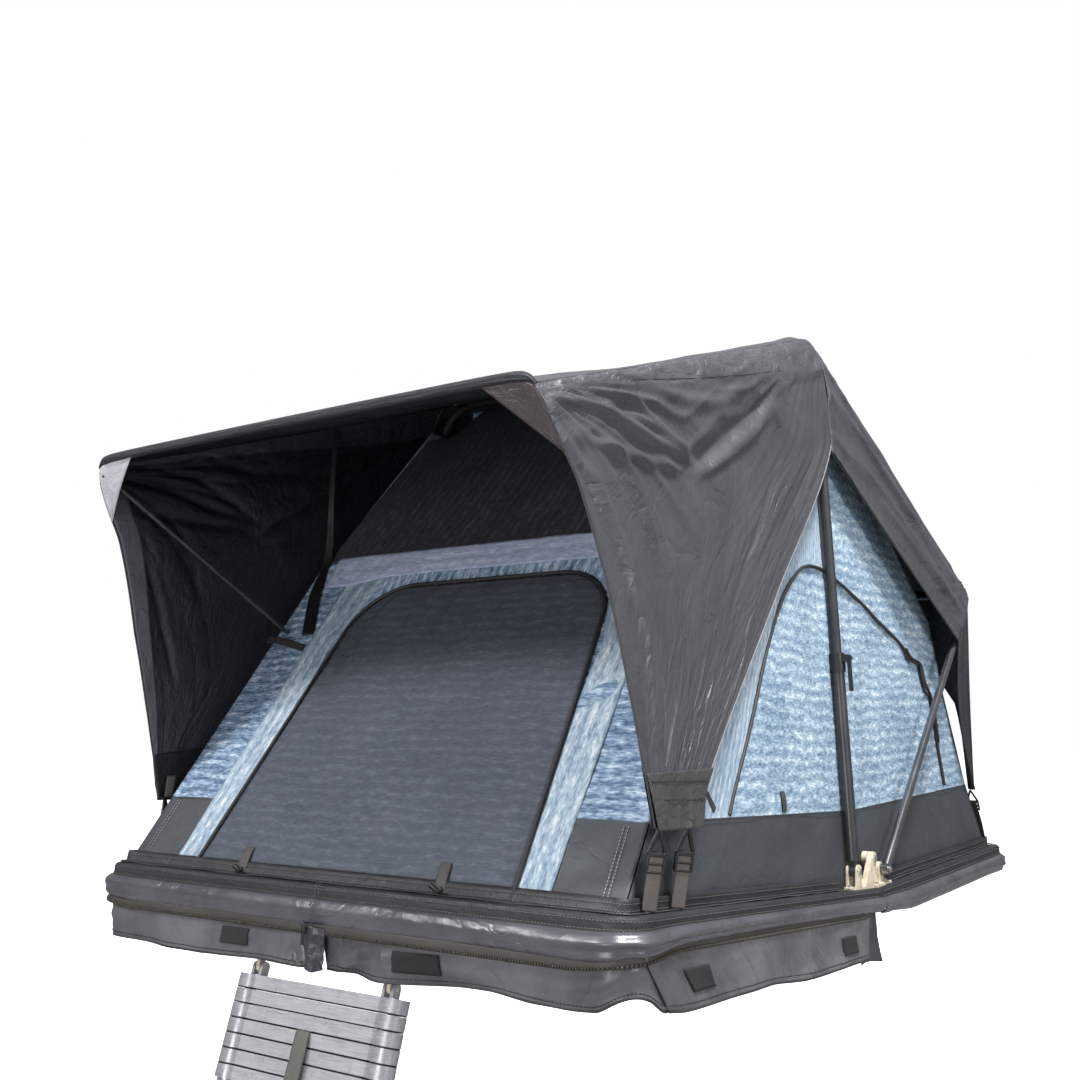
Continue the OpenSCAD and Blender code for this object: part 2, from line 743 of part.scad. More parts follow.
module flap() {
  s = shoulder(ridge_y + 4, ridge_y + 4);
  front_edge = [[0, s[0]], [0.2, s[1]], [0.55, s[2]], [1, s[3]]];
  rear_edge = [[0, [692, eave[0], eave[1] - 1]], [0.2, [738, eave[0] - 22, eave[1] - 26]],
               [0.55, [750, eave[0] - 110, eave[1] - 96]], [1, [752, eave[0] - 224, eave[1] - 186]]];
  ruled(front_edge, rear_edge, [0, 0.2, 0.55, 1], 8, [cloth_t, 0, 0.5], 0);
}

// the rear valance hangs in an arch between two tabs: how low it reaches at a share of the half width
valance_foot = [[0, 735], [0.35, 724], [0.6, 694], [0.75, 645], [0.88, 555], [0.945, 478], [0.965, 370],
                [0.975, 198], [1, 196]];
valance_half = [0, 0.15, 0.3, 0.45, 0.6, 0.68, 0.75, 0.82, 0.88, 0.915, 0.945, 0.965, 0.975, 1];
valance_t = concat([for (j = [len(valance_half) - 1:-1:1]) -valance_half[j]], valance_half);

// side panel from the end of the flap down to the valance's tab
module gusset() {
  seam = [[0, [696, eave[0] - 2, eave[1] - 8]], [0.2, [739, eave[0] - 22, eave[1] - 30]],
          [0.55, [751, eave[0] - 110, eave[1] - 100]], [1, [753, eave[0] - 224, eave[1] - 190]]];
  foot = [[0, [704, eave[0] + 36, 197]], [1, [712, eave[0] + 12, 197]]];
  sheet([for (t = [0, 0.2, 0.55, 1]) [for (j = [0:6])
    mix(along(seam, t), along(foot, t), j / 6) - t * sin(30 * j) * [6, 60, 0]]],
    [cloth_t, 0, 0.5]);
}

module fly_rear() {
  color("dimgray") rear_half() {
    fly_roof([ridge_y + 4, ridge_z + 16.5], eave, 690, 6, 12);
    both() flap();
    both() gusset();
    sheet([for (i = [0:4]) let(v = i / 4) [for (t = valance_t)
      let(foot = lookup(abs(t), valance_foot), fall = v * (eave[1] - foot) / (eave[1] - 196))
      [(692 + 8 * v) * t, eave[0] + 11 + 26 * fall + 9 * fall * sin(900 * t), mix(eave[1], foot, v)]]],
      [0, cloth_t, 0]);
  }
}

// Travel cover hanging round the front half
// how far the front skirt hangs inwards at x, held out where it passes over the ladder hooks
function skirt_in(x) = 30 - 28 * exp(-pow((abs(x) - stile_x + 17) / 70, 2));

module skirt_front() {
  color("dimgray") front_half() sheet([for (i = [0:3]) let(v = i / 3) [for (j = [0:30])
    let(t = j / 15 - 1, x = t * (742 - 16 * v))
    [x, -half_l - 12 + skirt_in(x) * v + 5 * v * sin(1260 * t), -76 - 79 * v - 3 * v * sin(800 * t)]]],
    [0, -2.5, 0]);
}

module skirt_sides() {
  color("dimgray") front_half() both() sheet([for (i = [0:3]) let(v = i / 3) [for (j = [0:24])
    let(t = j / 24)
    [deck_x + 14 - 22 * v + 5 * v * sin(1300 * t), mix(-half_l + 20, -160, t),
     -76 - 80 * v - 3 * v * sin(700 * t)]]],
    [2.5, 0, 0]);
}

// Straps from the fly to the base
strap_deg = 8;

module strap_at(y) {
  translate([wall_x + 44, y, 156]) rotate([0, strap_deg, 0]) children();
}

module straps_front() {
  color("black") front_half() both() for (y = [-1158, -1050])
    strap_at(y) translate([-0.8, -12.5, -146]) cube([1.6, 25, 145]);
}

module buckles_front() {
  color("black") front_half() both() for (y = [-1158, -1050]) strap_at(y) difference() {
    translate([-4.5, -17, -62]) cube([9, 34, 44]);
    translate([-1.1, -12.8, -70]) cube([2.2, 25.6, 60]);
  }
}

module rear_ties() {
  color("black") rear_half() both() translate([690, eave[0] + 40, 190]) rotate([33, 0, 0]) {
    translate([-12.5, -0.8, -208]) cube([25, 1.6, 206]);
    translate([-17, -4.5, -80]) cube([34, 9, 44]);
  }
}

rear_panel();
front_panel();
rear_frame();
front_frame();
mount_rails();
rail_bolts();
rear_hub_left();
rear_hub_right();
front_hub_left();
front_hub_right();
rear_hub_bolts();
front_hub_bolts();
hinge_pins();
ridge_pole_pins();
rear_bow_pins();
rear_mattress();
front_mattress();
rear_strip();
front_strip();
lower_tube_left();
lower_tube_right();
clamp_collar_left();
clamp_collar_right();
clamp_lever_left();
clamp_lever_right();
upper_bow_left();
upper_bow_right();
ridge_sleeve();
rear_bow();
upright_feet();
upright_left();
upright_right();
awning_arm_left();
awning_arm_right();
ladder_hooks();
ladder_1();
ladder_2();
ladder_3();
ladder_4();
ladder_5();
ladder_6();
ladder_7();
ladder_8();
ladder_9();
ladder_strap();
front_wall();
door();
roof_front();
side_front_left();
side_front_right();
side_rear_left();
side_rear_right();
rear_wall();
fly_front();
fly_rear();
skirt_front();
skirt_sides();
straps_front();
buckles_front();
rear_ties();
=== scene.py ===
import math

import bmesh
import bpy
from mathutils import Matrix, Vector, noise


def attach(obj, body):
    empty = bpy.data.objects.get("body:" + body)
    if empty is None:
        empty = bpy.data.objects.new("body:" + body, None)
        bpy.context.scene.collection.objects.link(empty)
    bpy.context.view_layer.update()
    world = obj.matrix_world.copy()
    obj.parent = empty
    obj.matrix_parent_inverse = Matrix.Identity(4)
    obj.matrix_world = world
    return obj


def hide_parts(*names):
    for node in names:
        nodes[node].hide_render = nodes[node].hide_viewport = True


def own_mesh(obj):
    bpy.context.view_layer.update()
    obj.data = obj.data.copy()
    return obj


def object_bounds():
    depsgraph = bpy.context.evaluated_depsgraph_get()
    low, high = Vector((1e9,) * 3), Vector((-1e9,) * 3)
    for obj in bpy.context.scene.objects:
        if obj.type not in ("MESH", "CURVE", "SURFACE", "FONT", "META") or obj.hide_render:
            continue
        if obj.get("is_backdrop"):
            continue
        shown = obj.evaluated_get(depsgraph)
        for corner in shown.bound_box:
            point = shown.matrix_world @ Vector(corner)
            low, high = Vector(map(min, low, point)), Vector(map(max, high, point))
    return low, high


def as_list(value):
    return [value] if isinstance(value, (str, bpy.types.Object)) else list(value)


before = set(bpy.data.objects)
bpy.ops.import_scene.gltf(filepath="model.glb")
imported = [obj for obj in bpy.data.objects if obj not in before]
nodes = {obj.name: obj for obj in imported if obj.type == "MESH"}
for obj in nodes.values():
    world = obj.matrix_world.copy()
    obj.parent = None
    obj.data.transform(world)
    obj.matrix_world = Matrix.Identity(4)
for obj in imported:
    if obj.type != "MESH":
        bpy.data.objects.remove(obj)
cadLow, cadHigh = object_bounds()
scene = bpy.context.scene
hinge = {"y": 620, "deck": 100, "pin": 80}  # mm: hinge line and deck from the origin, pin above the deck
tilt = math.radians(4.5)  # how far the front half is raised
frontUp = Vector((0, math.sin(tilt), math.cos(tilt)))


def onRear(x, y, z):  # mm from the hinge line and the deck, on the level half
    return Vector((x / 1000, (y - hinge["y"]) / 1000, (z + hinge["deck"]) / 1000))


def onFront(x, y, z):  # the same on the raised half
    c, s, up = math.cos(tilt), math.sin(tilt), z - hinge["pin"]
    return onRear(x, y * c + up * s, up * c - y * s + hinge["pin"])


def toFront(y, z):  # a level [y, z] in the raised half's own numbers
    c, s, up = math.cos(tilt), math.sin(tilt), z - hinge["pin"]
    return y * c - up * s, y * s + up * c + hinge["pin"]


def mix(a, b, t):
    return a + (b - a) * t


def clamp(x):
    return max(0.0, min(1.0, x))


def ease(x):
    x = clamp(x)
    return x * x * (3 - 2 * x)


def along(marks, t):  # smooth line through (t, point) marks
    i = 0
    while i < len(marks) - 2 and t > marks[i + 1][0]:
        i += 1

    def lean(k):
        a, b = max(k - 1, 0), min(k + 1, len(marks) - 1)
        return (Vector(marks[b][1]) - Vector(marks[a][1])) / (marks[b][0] - marks[a][0])

    h = marks[i + 1][0] - marks[i][0]
    s = (t - marks[i][0]) / h
    p = Vector(marks[i][1]) * (2 * s**3 - 3 * s**2 + 1) + lean(i) * h * (s**3 - 2 * s**2 + s)
    return p + Vector(marks[i + 1][1]) * (3 * s**2 - 2 * s**3) + lean(i + 1) * h * (s**3 - s**2)


def lineAt(marks, t):  # straight pieces between (t, value) marks
    if t <= marks[0][0]:
        return marks[0][1]
    for (a, p), (b, q) in zip(marks, marks[1:]):
        if t <= b:
            return mix(p, q, (t - a) / (b - a))
    return marks[-1][1]


def pairAt(marks, t):  # the same for (t, (a, b)) marks
    return [lineAt([(place, pair[k]) for place, pair in marks], t) for k in (0, 1)]


def grain(x, y, seed):
    return noise.noise(Vector((x, y, seed * 7.31)))


def crest(x, y, seed):  # sharp-topped fold lines, 0 to 1
    return max(0.0, 1 - 3.2 * abs(grain(x, y, seed)))


def fan(x, y, cx, cy, rays, reach, seed):  # folds that run out from a corner
    dx, dy = x - cx, y - cy
    r = math.hypot(dx, dy)
    turn = math.atan2(dy, dx)
    return crest(turn * rays, r * 0.9, seed) * math.exp(-((r / reach) ** 2)) * ease(r / 0.09)


def crease(x, y, path, wide):  # one pinched line through the given points, dying out at its ends
    best = 0.0
    for (ax, ay), (bx, by) in zip(path, path[1:]):
        dx, dy = bx - ax, by - ay
        t = clamp(((x - ax) * dx + (y - ay) * dy) / (dx * dx + dy * dy))
        d = math.hypot(x - ax - t * dx, y - ay - t * dy)
        best = max(best, math.exp(-((d / wide) ** 2)))
    ends = min(math.hypot(x - px, y - py) for px, py in (path[0], path[-1]))
    return best * (0.25 + 0.75 * ease(ends / 0.08))


print("stage: camera and light")
camera = {"place": (1.8258, -3.704, 0.5577), "yaw": 34.78, "pitch": 8.27, "roll": -0.27, "lens": 39.55}


def makeCamera(c):
    yaw, pitch, roll = (math.radians(c[k]) for k in ("yaw", "pitch", "roll"))
    ahead = Vector((-math.sin(yaw) * math.cos(pitch), math.cos(yaw) * math.cos(pitch), math.sin(pitch)))
    right = Vector((math.cos(yaw), math.sin(yaw), 0))
    up = right.cross(ahead)
    right, up = right * math.cos(roll) + up * math.sin(roll), up * math.cos(roll) - right * math.sin(roll)
    lens = bpy.data.cameras.new("camera")
    lens.lens = c["lens"]
    lens.sensor_width = 36
    lens.clip_end = 100
    cam = bpy.data.objects.new("camera", lens)
    scene.collection.objects.link(cam)
    turn = Matrix((right, up, -ahead)).transposed().to_4x4()
    cam.matrix_world = Matrix.Translation(c["place"]) @ turn
    scene.camera = cam


makeCamera(camera)
studio = {
    "sky": 0.30,
    "floor": (0.88, 0.88, 0.88, 1),
    "floorDull": (0.3, 0.3, 0.3, 1),
    "floorSize": 30,
    "floorDrop": 0.004,
    "glow": 1.0,
    "lights": [("keyLight", (2.3, -1.9, 5.4), (0.3, -0.9, 0.8), 0.8, 500),
               ("sideLight", (6.2, -2.6, 2.6), (0.6, -0.4, 0.6), 2.0, 180),
               ("frontLight", (-2.3, -5.4, 4.3), (0, -1.2, 0.4), 1.2, 265),
               ("lowLight", (0.9, -6.4, 0.35), (0, -1.0, 0.6), 2.2, 105),
               ("backLight", (-2.4, 5.6, 2.6), (0, 0.6, 0.5), 2.4, 170)],
}


def areaLight(name, place, target, size, power):
    lamp = bpy.data.lights.new(name, "AREA")
    lamp.shape = "DISK"
    lamp.size = size
    lamp.energy = power
    ob = bpy.data.objects.new(name, lamp)
    scene.collection.objects.link(ob)
    ob.location = place
    ob.rotation_euler = (Vector(target) - Vector(place)).to_track_quat("-Z", "Y").to_euler()


def put(tree, kind, **values):  # adds a node, its plain settings and its socket values
    node = tree.nodes.new(kind)
    for key, value in values.items():
        if key in node.inputs:
            node.inputs[key].default_value = value
        else:
            setattr(node, key, value)
    return node


def cameraPick(tree, bounced, seen, output):  # the camera sees one shader, bounced light meets the other
    path = tree.nodes.new("ShaderNodeLightPath")
    pick = tree.nodes.new("ShaderNodeMixShader")
    tree.links.new(path.outputs["Is Camera Ray"], pick.inputs["Fac"])
    tree.links.new(bounced.outputs[0], pick.inputs[1])
    tree.links.new(seen.outputs[0], pick.inputs[2])
    tree.links.new(pick.outputs[0], tree.nodes[output].inputs["Surface"])


def makeStudio(s):
    white = (1, 1, 1, 1)
    scene.view_settings.view_transform = "Standard"
    world = bpy.data.worlds.new("studio")
    world.use_nodes = True
    tree = world.node_tree
    sky = tree.nodes["Background"]
    sky.inputs["Color"].default_value = white
    sky.inputs["Strength"].default_value = s["sky"]
    cameraPick(tree, sky, put(tree, "ShaderNodeBackground", Color=white), "World Output")
    scene.world = world
    for light in s["lights"]:
        areaLight(*light)
    bm = bmesh.new()
    bmesh.ops.create_grid(bm, x_segments=8, y_segments=8, size=s["floorSize"])
    bmesh.ops.translate(bm, verts=bm.verts, vec=(0, 0, cadLow.z - s["floorDrop"]))
    mesh = bpy.data.meshes.new("floor")
    bm.to_mesh(mesh)
    bm.free()
    floor = bpy.data.objects.new("floor", mesh)
    scene.collection.objects.link(floor)
    paint = bpy.data.materials.new("floorPaint")
    paint.use_nodes = True
    tree = paint.node_tree
    shown = tree.nodes["Principled BSDF"]
    shown.inputs["Base Color"].default_value = s["floor"]
    shown.inputs["Roughness"].default_value = 0.9
    shown.inputs["Emission Color"].default_value = white
    shown.inputs["Emission Strength"].default_value = s["glow"]
    dull = put(tree, "ShaderNodeBsdfDiffuse", Color=s["floorDull"])
    cameraPick(tree, dull, shown, "Material Output")
    mesh.materials.append(paint)
    floor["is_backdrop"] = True


makeStudio(studio)

print("stage: finishes")


def nodeGroup(name, out, **numbers):  # takes a vector and numbers, gives one number
    group = bpy.data.node_groups.new(name, "ShaderNodeTree")
    group.interface.new_socket(name="Vector", in_out="INPUT", socket_type="NodeSocketVector")
    for socket, value in numbers.items():
        made = group.interface.new_socket(name=socket, in_out="INPUT", socket_type="NodeSocketFloat")
        made.default_value = value
    group.interface.new_socket(name=out, in_out="OUTPUT", socket_type="NodeSocketFloat")
    return group, group.nodes.new("NodeGroupInput"), group.nodes.new("NodeGroupOutput")


def math2(tree, operation, a, b=None):
    node = put(tree, "ShaderNodeMath", operation=operation)
    for i, value in enumerate((a, b)):
        if value is None:
            continue
        if isinstance(value, (int, float)):
            node.inputs[i].default_value = value
        else:
            tree.links.new(value, node.inputs[i])
    return node.outputs[0]


def stretch(tree, vector, x, y, z):
    node = put(tree, "ShaderNodeMapping", Scale=(x, y, z))
    tree.links.new(vector, node.inputs["Vector"])
    return node.outputs[0]


def cloud(tree, vector, scale, detail, rough, twist=0.0):
    node = put(tree, "ShaderNodeTexNoise", Scale=scale, Detail=detail, Roughness=rough, Distortion=twist)
    tree.links.new(vector, node.inputs["Vector"])
    return node.outputs["Fac"]


def fromTo(tree, value, low, high):  # spreads low to high over 0 to 1
    node = put(tree, "ShaderNodeMapRange", **{"From Min": low, "From Max": high})
    tree.links.new(value, node.inputs["Value"])
    return node


def makeWeave():  # threads as a height
    group, gin, gout = nodeGroup("weave", "Height", Threads=400.0)
    fullTurn = 6.2832
    scaled = put(group, "ShaderNodeVectorMath", operation="SCALE")
    group.links.new(gin.outputs["Vector"], scaled.inputs[0])
    group.links.new(gin.outputs["Threads"], scaled.inputs["Scale"])
    parts = put(group, "ShaderNodeSeparateXYZ")
    group.links.new(scaled.outputs[0], parts.inputs[0])
    a, b, c = (math2(group, "SINE", math2(group, "MULTIPLY", axis, fullTurn)) for axis in parts.outputs)
    total = math2(group, "ADD", math2(group, "ADD", a, b), c)
    group.links.new(math2(group, "MULTIPLY", total, 0.33), gout.inputs["Height"])
    return group


def makeCrumple():  # small sharp creases as a height
    group, gin, gout = nodeGroup("crumple", "Height", Scale=6.0)
    node = put(group, "ShaderNodeTexNoise", Detail=4.0, Roughness=0.55, Distortion=0.6)
    cells = put(group, "ShaderNodeTexVoronoi", feature="DISTANCE_TO_EDGE", Randomness=1.0)
    bent = put(group, "ShaderNodeVectorMath", operation="MULTIPLY_ADD")
    bent.inputs[1].default_value = (0.09, 0.09, 0.09)
    group.links.new(node.outputs["Color"], bent.inputs[0])
    group.links.new(gin.outputs["Vector"], bent.inputs[2])
    group.links.new(bent.outputs[0], cells.inputs["Vector"])
    group.links.new(gin.outputs["Vector"], node.inputs["Vector"])
    for target in (node, cells):
        group.links.new(gin.outputs["Scale"], target.inputs["Scale"])
    fold = math2(group, "ABSOLUTE", math2(group, "SUBTRACT", node.outputs["Fac"], 0.5))
    soft = math2(group, "POWER", math2(group, "MULTIPLY", fold, 4.0), 0.6)
    near = math2(group, "MINIMUM", math2(group, "MULTIPLY", cells.outputs["Distance"], 2.2), 1.0)
    edge = math2(group, "MULTIPLY", math2(group, "POWER", near, 0.5), 0.45)
    height = math2(group, "SUBTRACT", math2(group, "MULTIPLY", soft, 0.8), edge)
    group.links.new(height, gout.inputs["Height"])
    return group


def makeMottle():  # slow change between two values
    group, gin, gout = nodeGroup("mottle", "Value", Scale=5.0, Low=0.0, High=1.0)
    node = put(group, "ShaderNodeTexNoise", Detail=5.0, Roughness=0.6)
    for key in ("Vector", "Scale"):
        group.links.new(gin.outputs[key], node.inputs[key])
    span = fromTo(group, node.outputs["Fac"], 0.32, 0.68)
    group.links.new(gin.outputs["Low"], span.inputs["To Min"])
    group.links.new(gin.outputs["High"], span.inputs["To Max"])
    group.links.new(span.outputs["Result"], gout.inputs["Value"])
    return group


def makeStreaks():  # lying ripples, dark 0 to pale 1
    group, gin, gout = nodeGroup("streaks", "Tone")
    v = gin.outputs["Vector"]
    parts = put(group, "ShaderNodeSeparateXYZ")
    group.links.new(v, parts.inputs[0])
    wander = cloud(group, stretch(group, v, 9, 12, 9), 1.0, 2.0, 0.5)
    rows = math2(group, "MULTIPLY", parts.outputs[1], 210.0)
    ripple = math2(group, "SINE", math2(group, "ADD", rows, math2(group, "MULTIPLY", wander, 9.0)))
    broken = cloud(group, stretch(group, v, 24, 74, 24), 1.0, 3.0, 0.55, 0.25)
    dash = cloud(group, stretch(group, v, 52, 190, 52), 1.0, 3.0, 0.6, 0.1)
    wide = cloud(group, stretch(group, v, 4, 8, 4), 1.0, 2.0, 0.5)
    mixed = math2(group, "MULTIPLY", math2(group, "MULTIPLY", ripple, broken), 0.14)
    for layer, share in ((dash, 0.85), (wide, 0.30), (broken, 0.60)):
        mixed = math2(group, "ADD", mixed, math2(group, "MULTIPLY", layer, share))
    span = fromTo(group, mixed, 0.58, 1.18)
    group.links.new(span.outputs["Result"], gout.inputs["Tone"])
    return group


groups = {"weave": makeWeave(), "crumple": makeCrumple(), "mottle": makeMottle(), "streaks": makeStreaks()}


def useGroup(tree, name, vector, **values):
    node = tree.nodes.new("ShaderNodeGroup")
    node.node_tree = groups[name]
    tree.links.new(vector, node.inputs["Vector"])
    for key, value in values.items():
        node.inputs[key].default_value = value
    return node.outputs[0]


def ramp(tree, value, stops):
    node = tree.nodes.new("ShaderNodeValToRGB")
    while len(node.color_ramp.elements) < len(stops):
        node.color_ramp.elements.new(0.5)
    for element, (place, color) in zip(node.color_ramp.elements, stops):
        element.position = place
        element.color = (*color, 1)
    tree.links.new(value, node.inputs["Fac"])
    return node.outputs["Color"]


def bumped(tree, shader, height, strength, distance, before=None):
    node = put(tree, "ShaderNodeBump", Strength=strength, Distance=distance)
    tree.links.new(height, node.inputs["Height"])
    if before is not None:
        tree.links.new(before, node.inputs["Normal"])
    tree.links.new(node.outputs["Normal"], shader.inputs["Normal"])
    return node.outputs["Normal"]


def startFinish(name, coords="UV", **shaderValues):
    made = bpy.data.materials.new(name)
    made.use_nodes = True
    tree = made.node_tree
    shader = tree.nodes["Principled BSDF"]
    for key, value in shaderValues.items():
        shader.inputs[key.replace("_", " ")].default_value = value
    where = tree.nodes.new("ShaderNodeTexCoord").outputs[coords]
    return made, tree, shader, where


def clothFinish(name, dark, light, rough, crumpleScale, crumpleDepth, threads=420.0, scale=4.0, coat=0.0,
                coords="UV", roughSpan=0.1):
    made, tree, shader, where = startFinish(name, coords, Coat_Weight=coat, Coat_Roughness=0.3)
    tone = useGroup(tree, "mottle", where, Scale=scale, Low=0.0, High=1.0)
    tree.links.new(ramp(tree, tone, [(0.0, dark), (1.0, light)]), shader.inputs["Base Color"])
    gloss = useGroup(tree, "mottle", where, Scale=scale * 2.3, Low=rough - roughSpan, High=rough + roughSpan)
    tree.links.new(gloss, shader.inputs["Roughness"])
    first = bumped(tree, shader, useGroup(tree, "crumple", where, Scale=crumpleScale), 0.7, crumpleDepth)
    bumped(tree, shader, useGroup(tree, "weave", where, Threads=threads), 0.25, 0.0003, first)
    return made


def printFinish(name, stops, rough=0.75, turn=False, threads=380.0):
    made, tree, shader, where = startFinish(name, "UV", Specular_IOR_Level=0.25)
    if turn:
        node = put(tree, "ShaderNodeMapping", Rotation=(0, 0, math.radians(90)))
        tree.links.new(where, node.inputs["Vector"])
        where = node.outputs[0]
    tree.links.new(ramp(tree, useGroup(tree, "streaks", where), stops), shader.inputs["Base Color"])
    gloss = useGroup(tree, "mottle", where, Scale=9.0, Low=rough - 0.1, High=rough + 0.1)
    tree.links.new(gloss, shader.inputs["Roughness"])
    first = bumped(tree, shader, useGroup(tree, "crumple", where, Scale=5.0), 0.5, 0.001)
    bumped(tree, shader, useGroup(tree, "weave", where, Threads=threads), 0.35, 0.0004, first)
    return made


def solidFinish(name, dark, light, rough, metal, scale, coat=0.0, lines=None, depth=0.0001, span=0.08):
    made, tree, shader, where = startFinish(name, "Object", Metallic=metal, Coat_Weight=coat)
    if lines:
        where = stretch(tree, where, *lines)
    tone = useGroup(tree, "mottle", where, Scale=scale, Low=0.0, High=1.0)
    tree.links.new(ramp(tree, tone, [(0.0, dark), (1.0, light)]), shader.inputs["Base Color"])
    gloss = useGroup(tree, "mottle", where, Scale=scale * 3, Low=max(0.05, rough - span), High=rough + span)
    tree.links.new(gloss, shader.inputs["Roughness"])
    bumped(tree, shader, useGroup(tree, "mottle", where, Scale=scale * 5, Low=0.0, High=1.0), 0.15, depth)
    return made


def ladderFinish(name, rung, collar, rough):  # brushed rungs between darker end collars
    made, tree, shader, where = startFinish(name, "Object", Metallic=0.45)
    brushed = useGroup(tree, "mottle", stretch(tree, where, 3, 60, 60), Scale=6.0, Low=0.0, High=1.0)
    parts = put(tree, "ShaderNodeSeparateXYZ")
    tree.links.new(where, parts.inputs[0])
    edge = fromTo(tree, math2(tree, "ABSOLUTE", parts.outputs[0]), 0.1755, 0.1775)
    blend = put(tree, "ShaderNodeMix", data_type="RGBA")
    tree.links.new(edge.outputs["Result"], blend.inputs["Factor"])
    for look, socket in ((rung, blend.inputs[6]), (collar, blend.inputs[7])):
        tree.links.new(ramp(tree, brushed, [(0.0, look[0]), (1.0, look[1])]), socket)
    tree.links.new(blend.outputs[2], shader.inputs["Base Color"])
    gloss = useGroup(tree, "mottle", where, Scale=40.0, Low=rough - 0.08, High=rough + 0.1)
    tree.links.new(gloss, shader.inputs["Roughness"])
    bumped(tree, shader, brushed, 0.1, 0.0001)
    return made


seaStops = [(0.0, (0.070, 0.115, 0.19)), (0.25, (0.15, 0.23, 0.33)), (0.5, (0.27, 0.37, 0.47)),
            (0.72, (0.42, 0.52, 0.61)), (0.95, (0.70, 0.76, 0.80))]
# a darker copy of the wall print for the front wall: painted shade, standing in for the awning's shade
shadedSeaStops = [(0.0, (0.036, 0.058, 0.105)), (0.28, (0.095, 0.15, 0.25)), (0.5, (0.20, 0.29, 0.42)),
             (0.72, (0.38, 0.48, 0.61)), (0.95, (0.70, 0.77, 0.85))]
# a lighter copy of the wall print, laid turned, for the front wall above the door's arch: the turned print is
# real, its extra lightness is painted light against the awning's shade
litArchStops = [(0.0, (0.06, 0.095, 0.17)), (0.28, (0.16, 0.25, 0.38)), (0.5, (0.34, 0.46, 0.62)),
             (0.72, (0.58, 0.70, 0.82)), (0.95, (0.86, 0.90, 0.94))]
paleStops = [(0.0, (0.11, 0.165, 0.25)), (0.35, (0.24, 0.33, 0.43)), (0.65, (0.42, 0.51, 0.59)),
             (0.95, (0.70, 0.74, 0.77))]
hazeStops = [(0.0, (0.25, 0.29, 0.42)), (0.5, (0.43, 0.48, 0.66)), (0.95, (0.66, 0.71, 0.85))]
netStops = [(0.0, (0.053, 0.062, 0.081)), (0.5, (0.072, 0.084, 0.107)), (0.95, (0.106, 0.122, 0.153))]
nightStops = [(0.0, (0.030, 0.031, 0.040)), (0.55, (0.062, 0.064, 0.078)), (0.95, (0.125, 0.128, 0.15))]

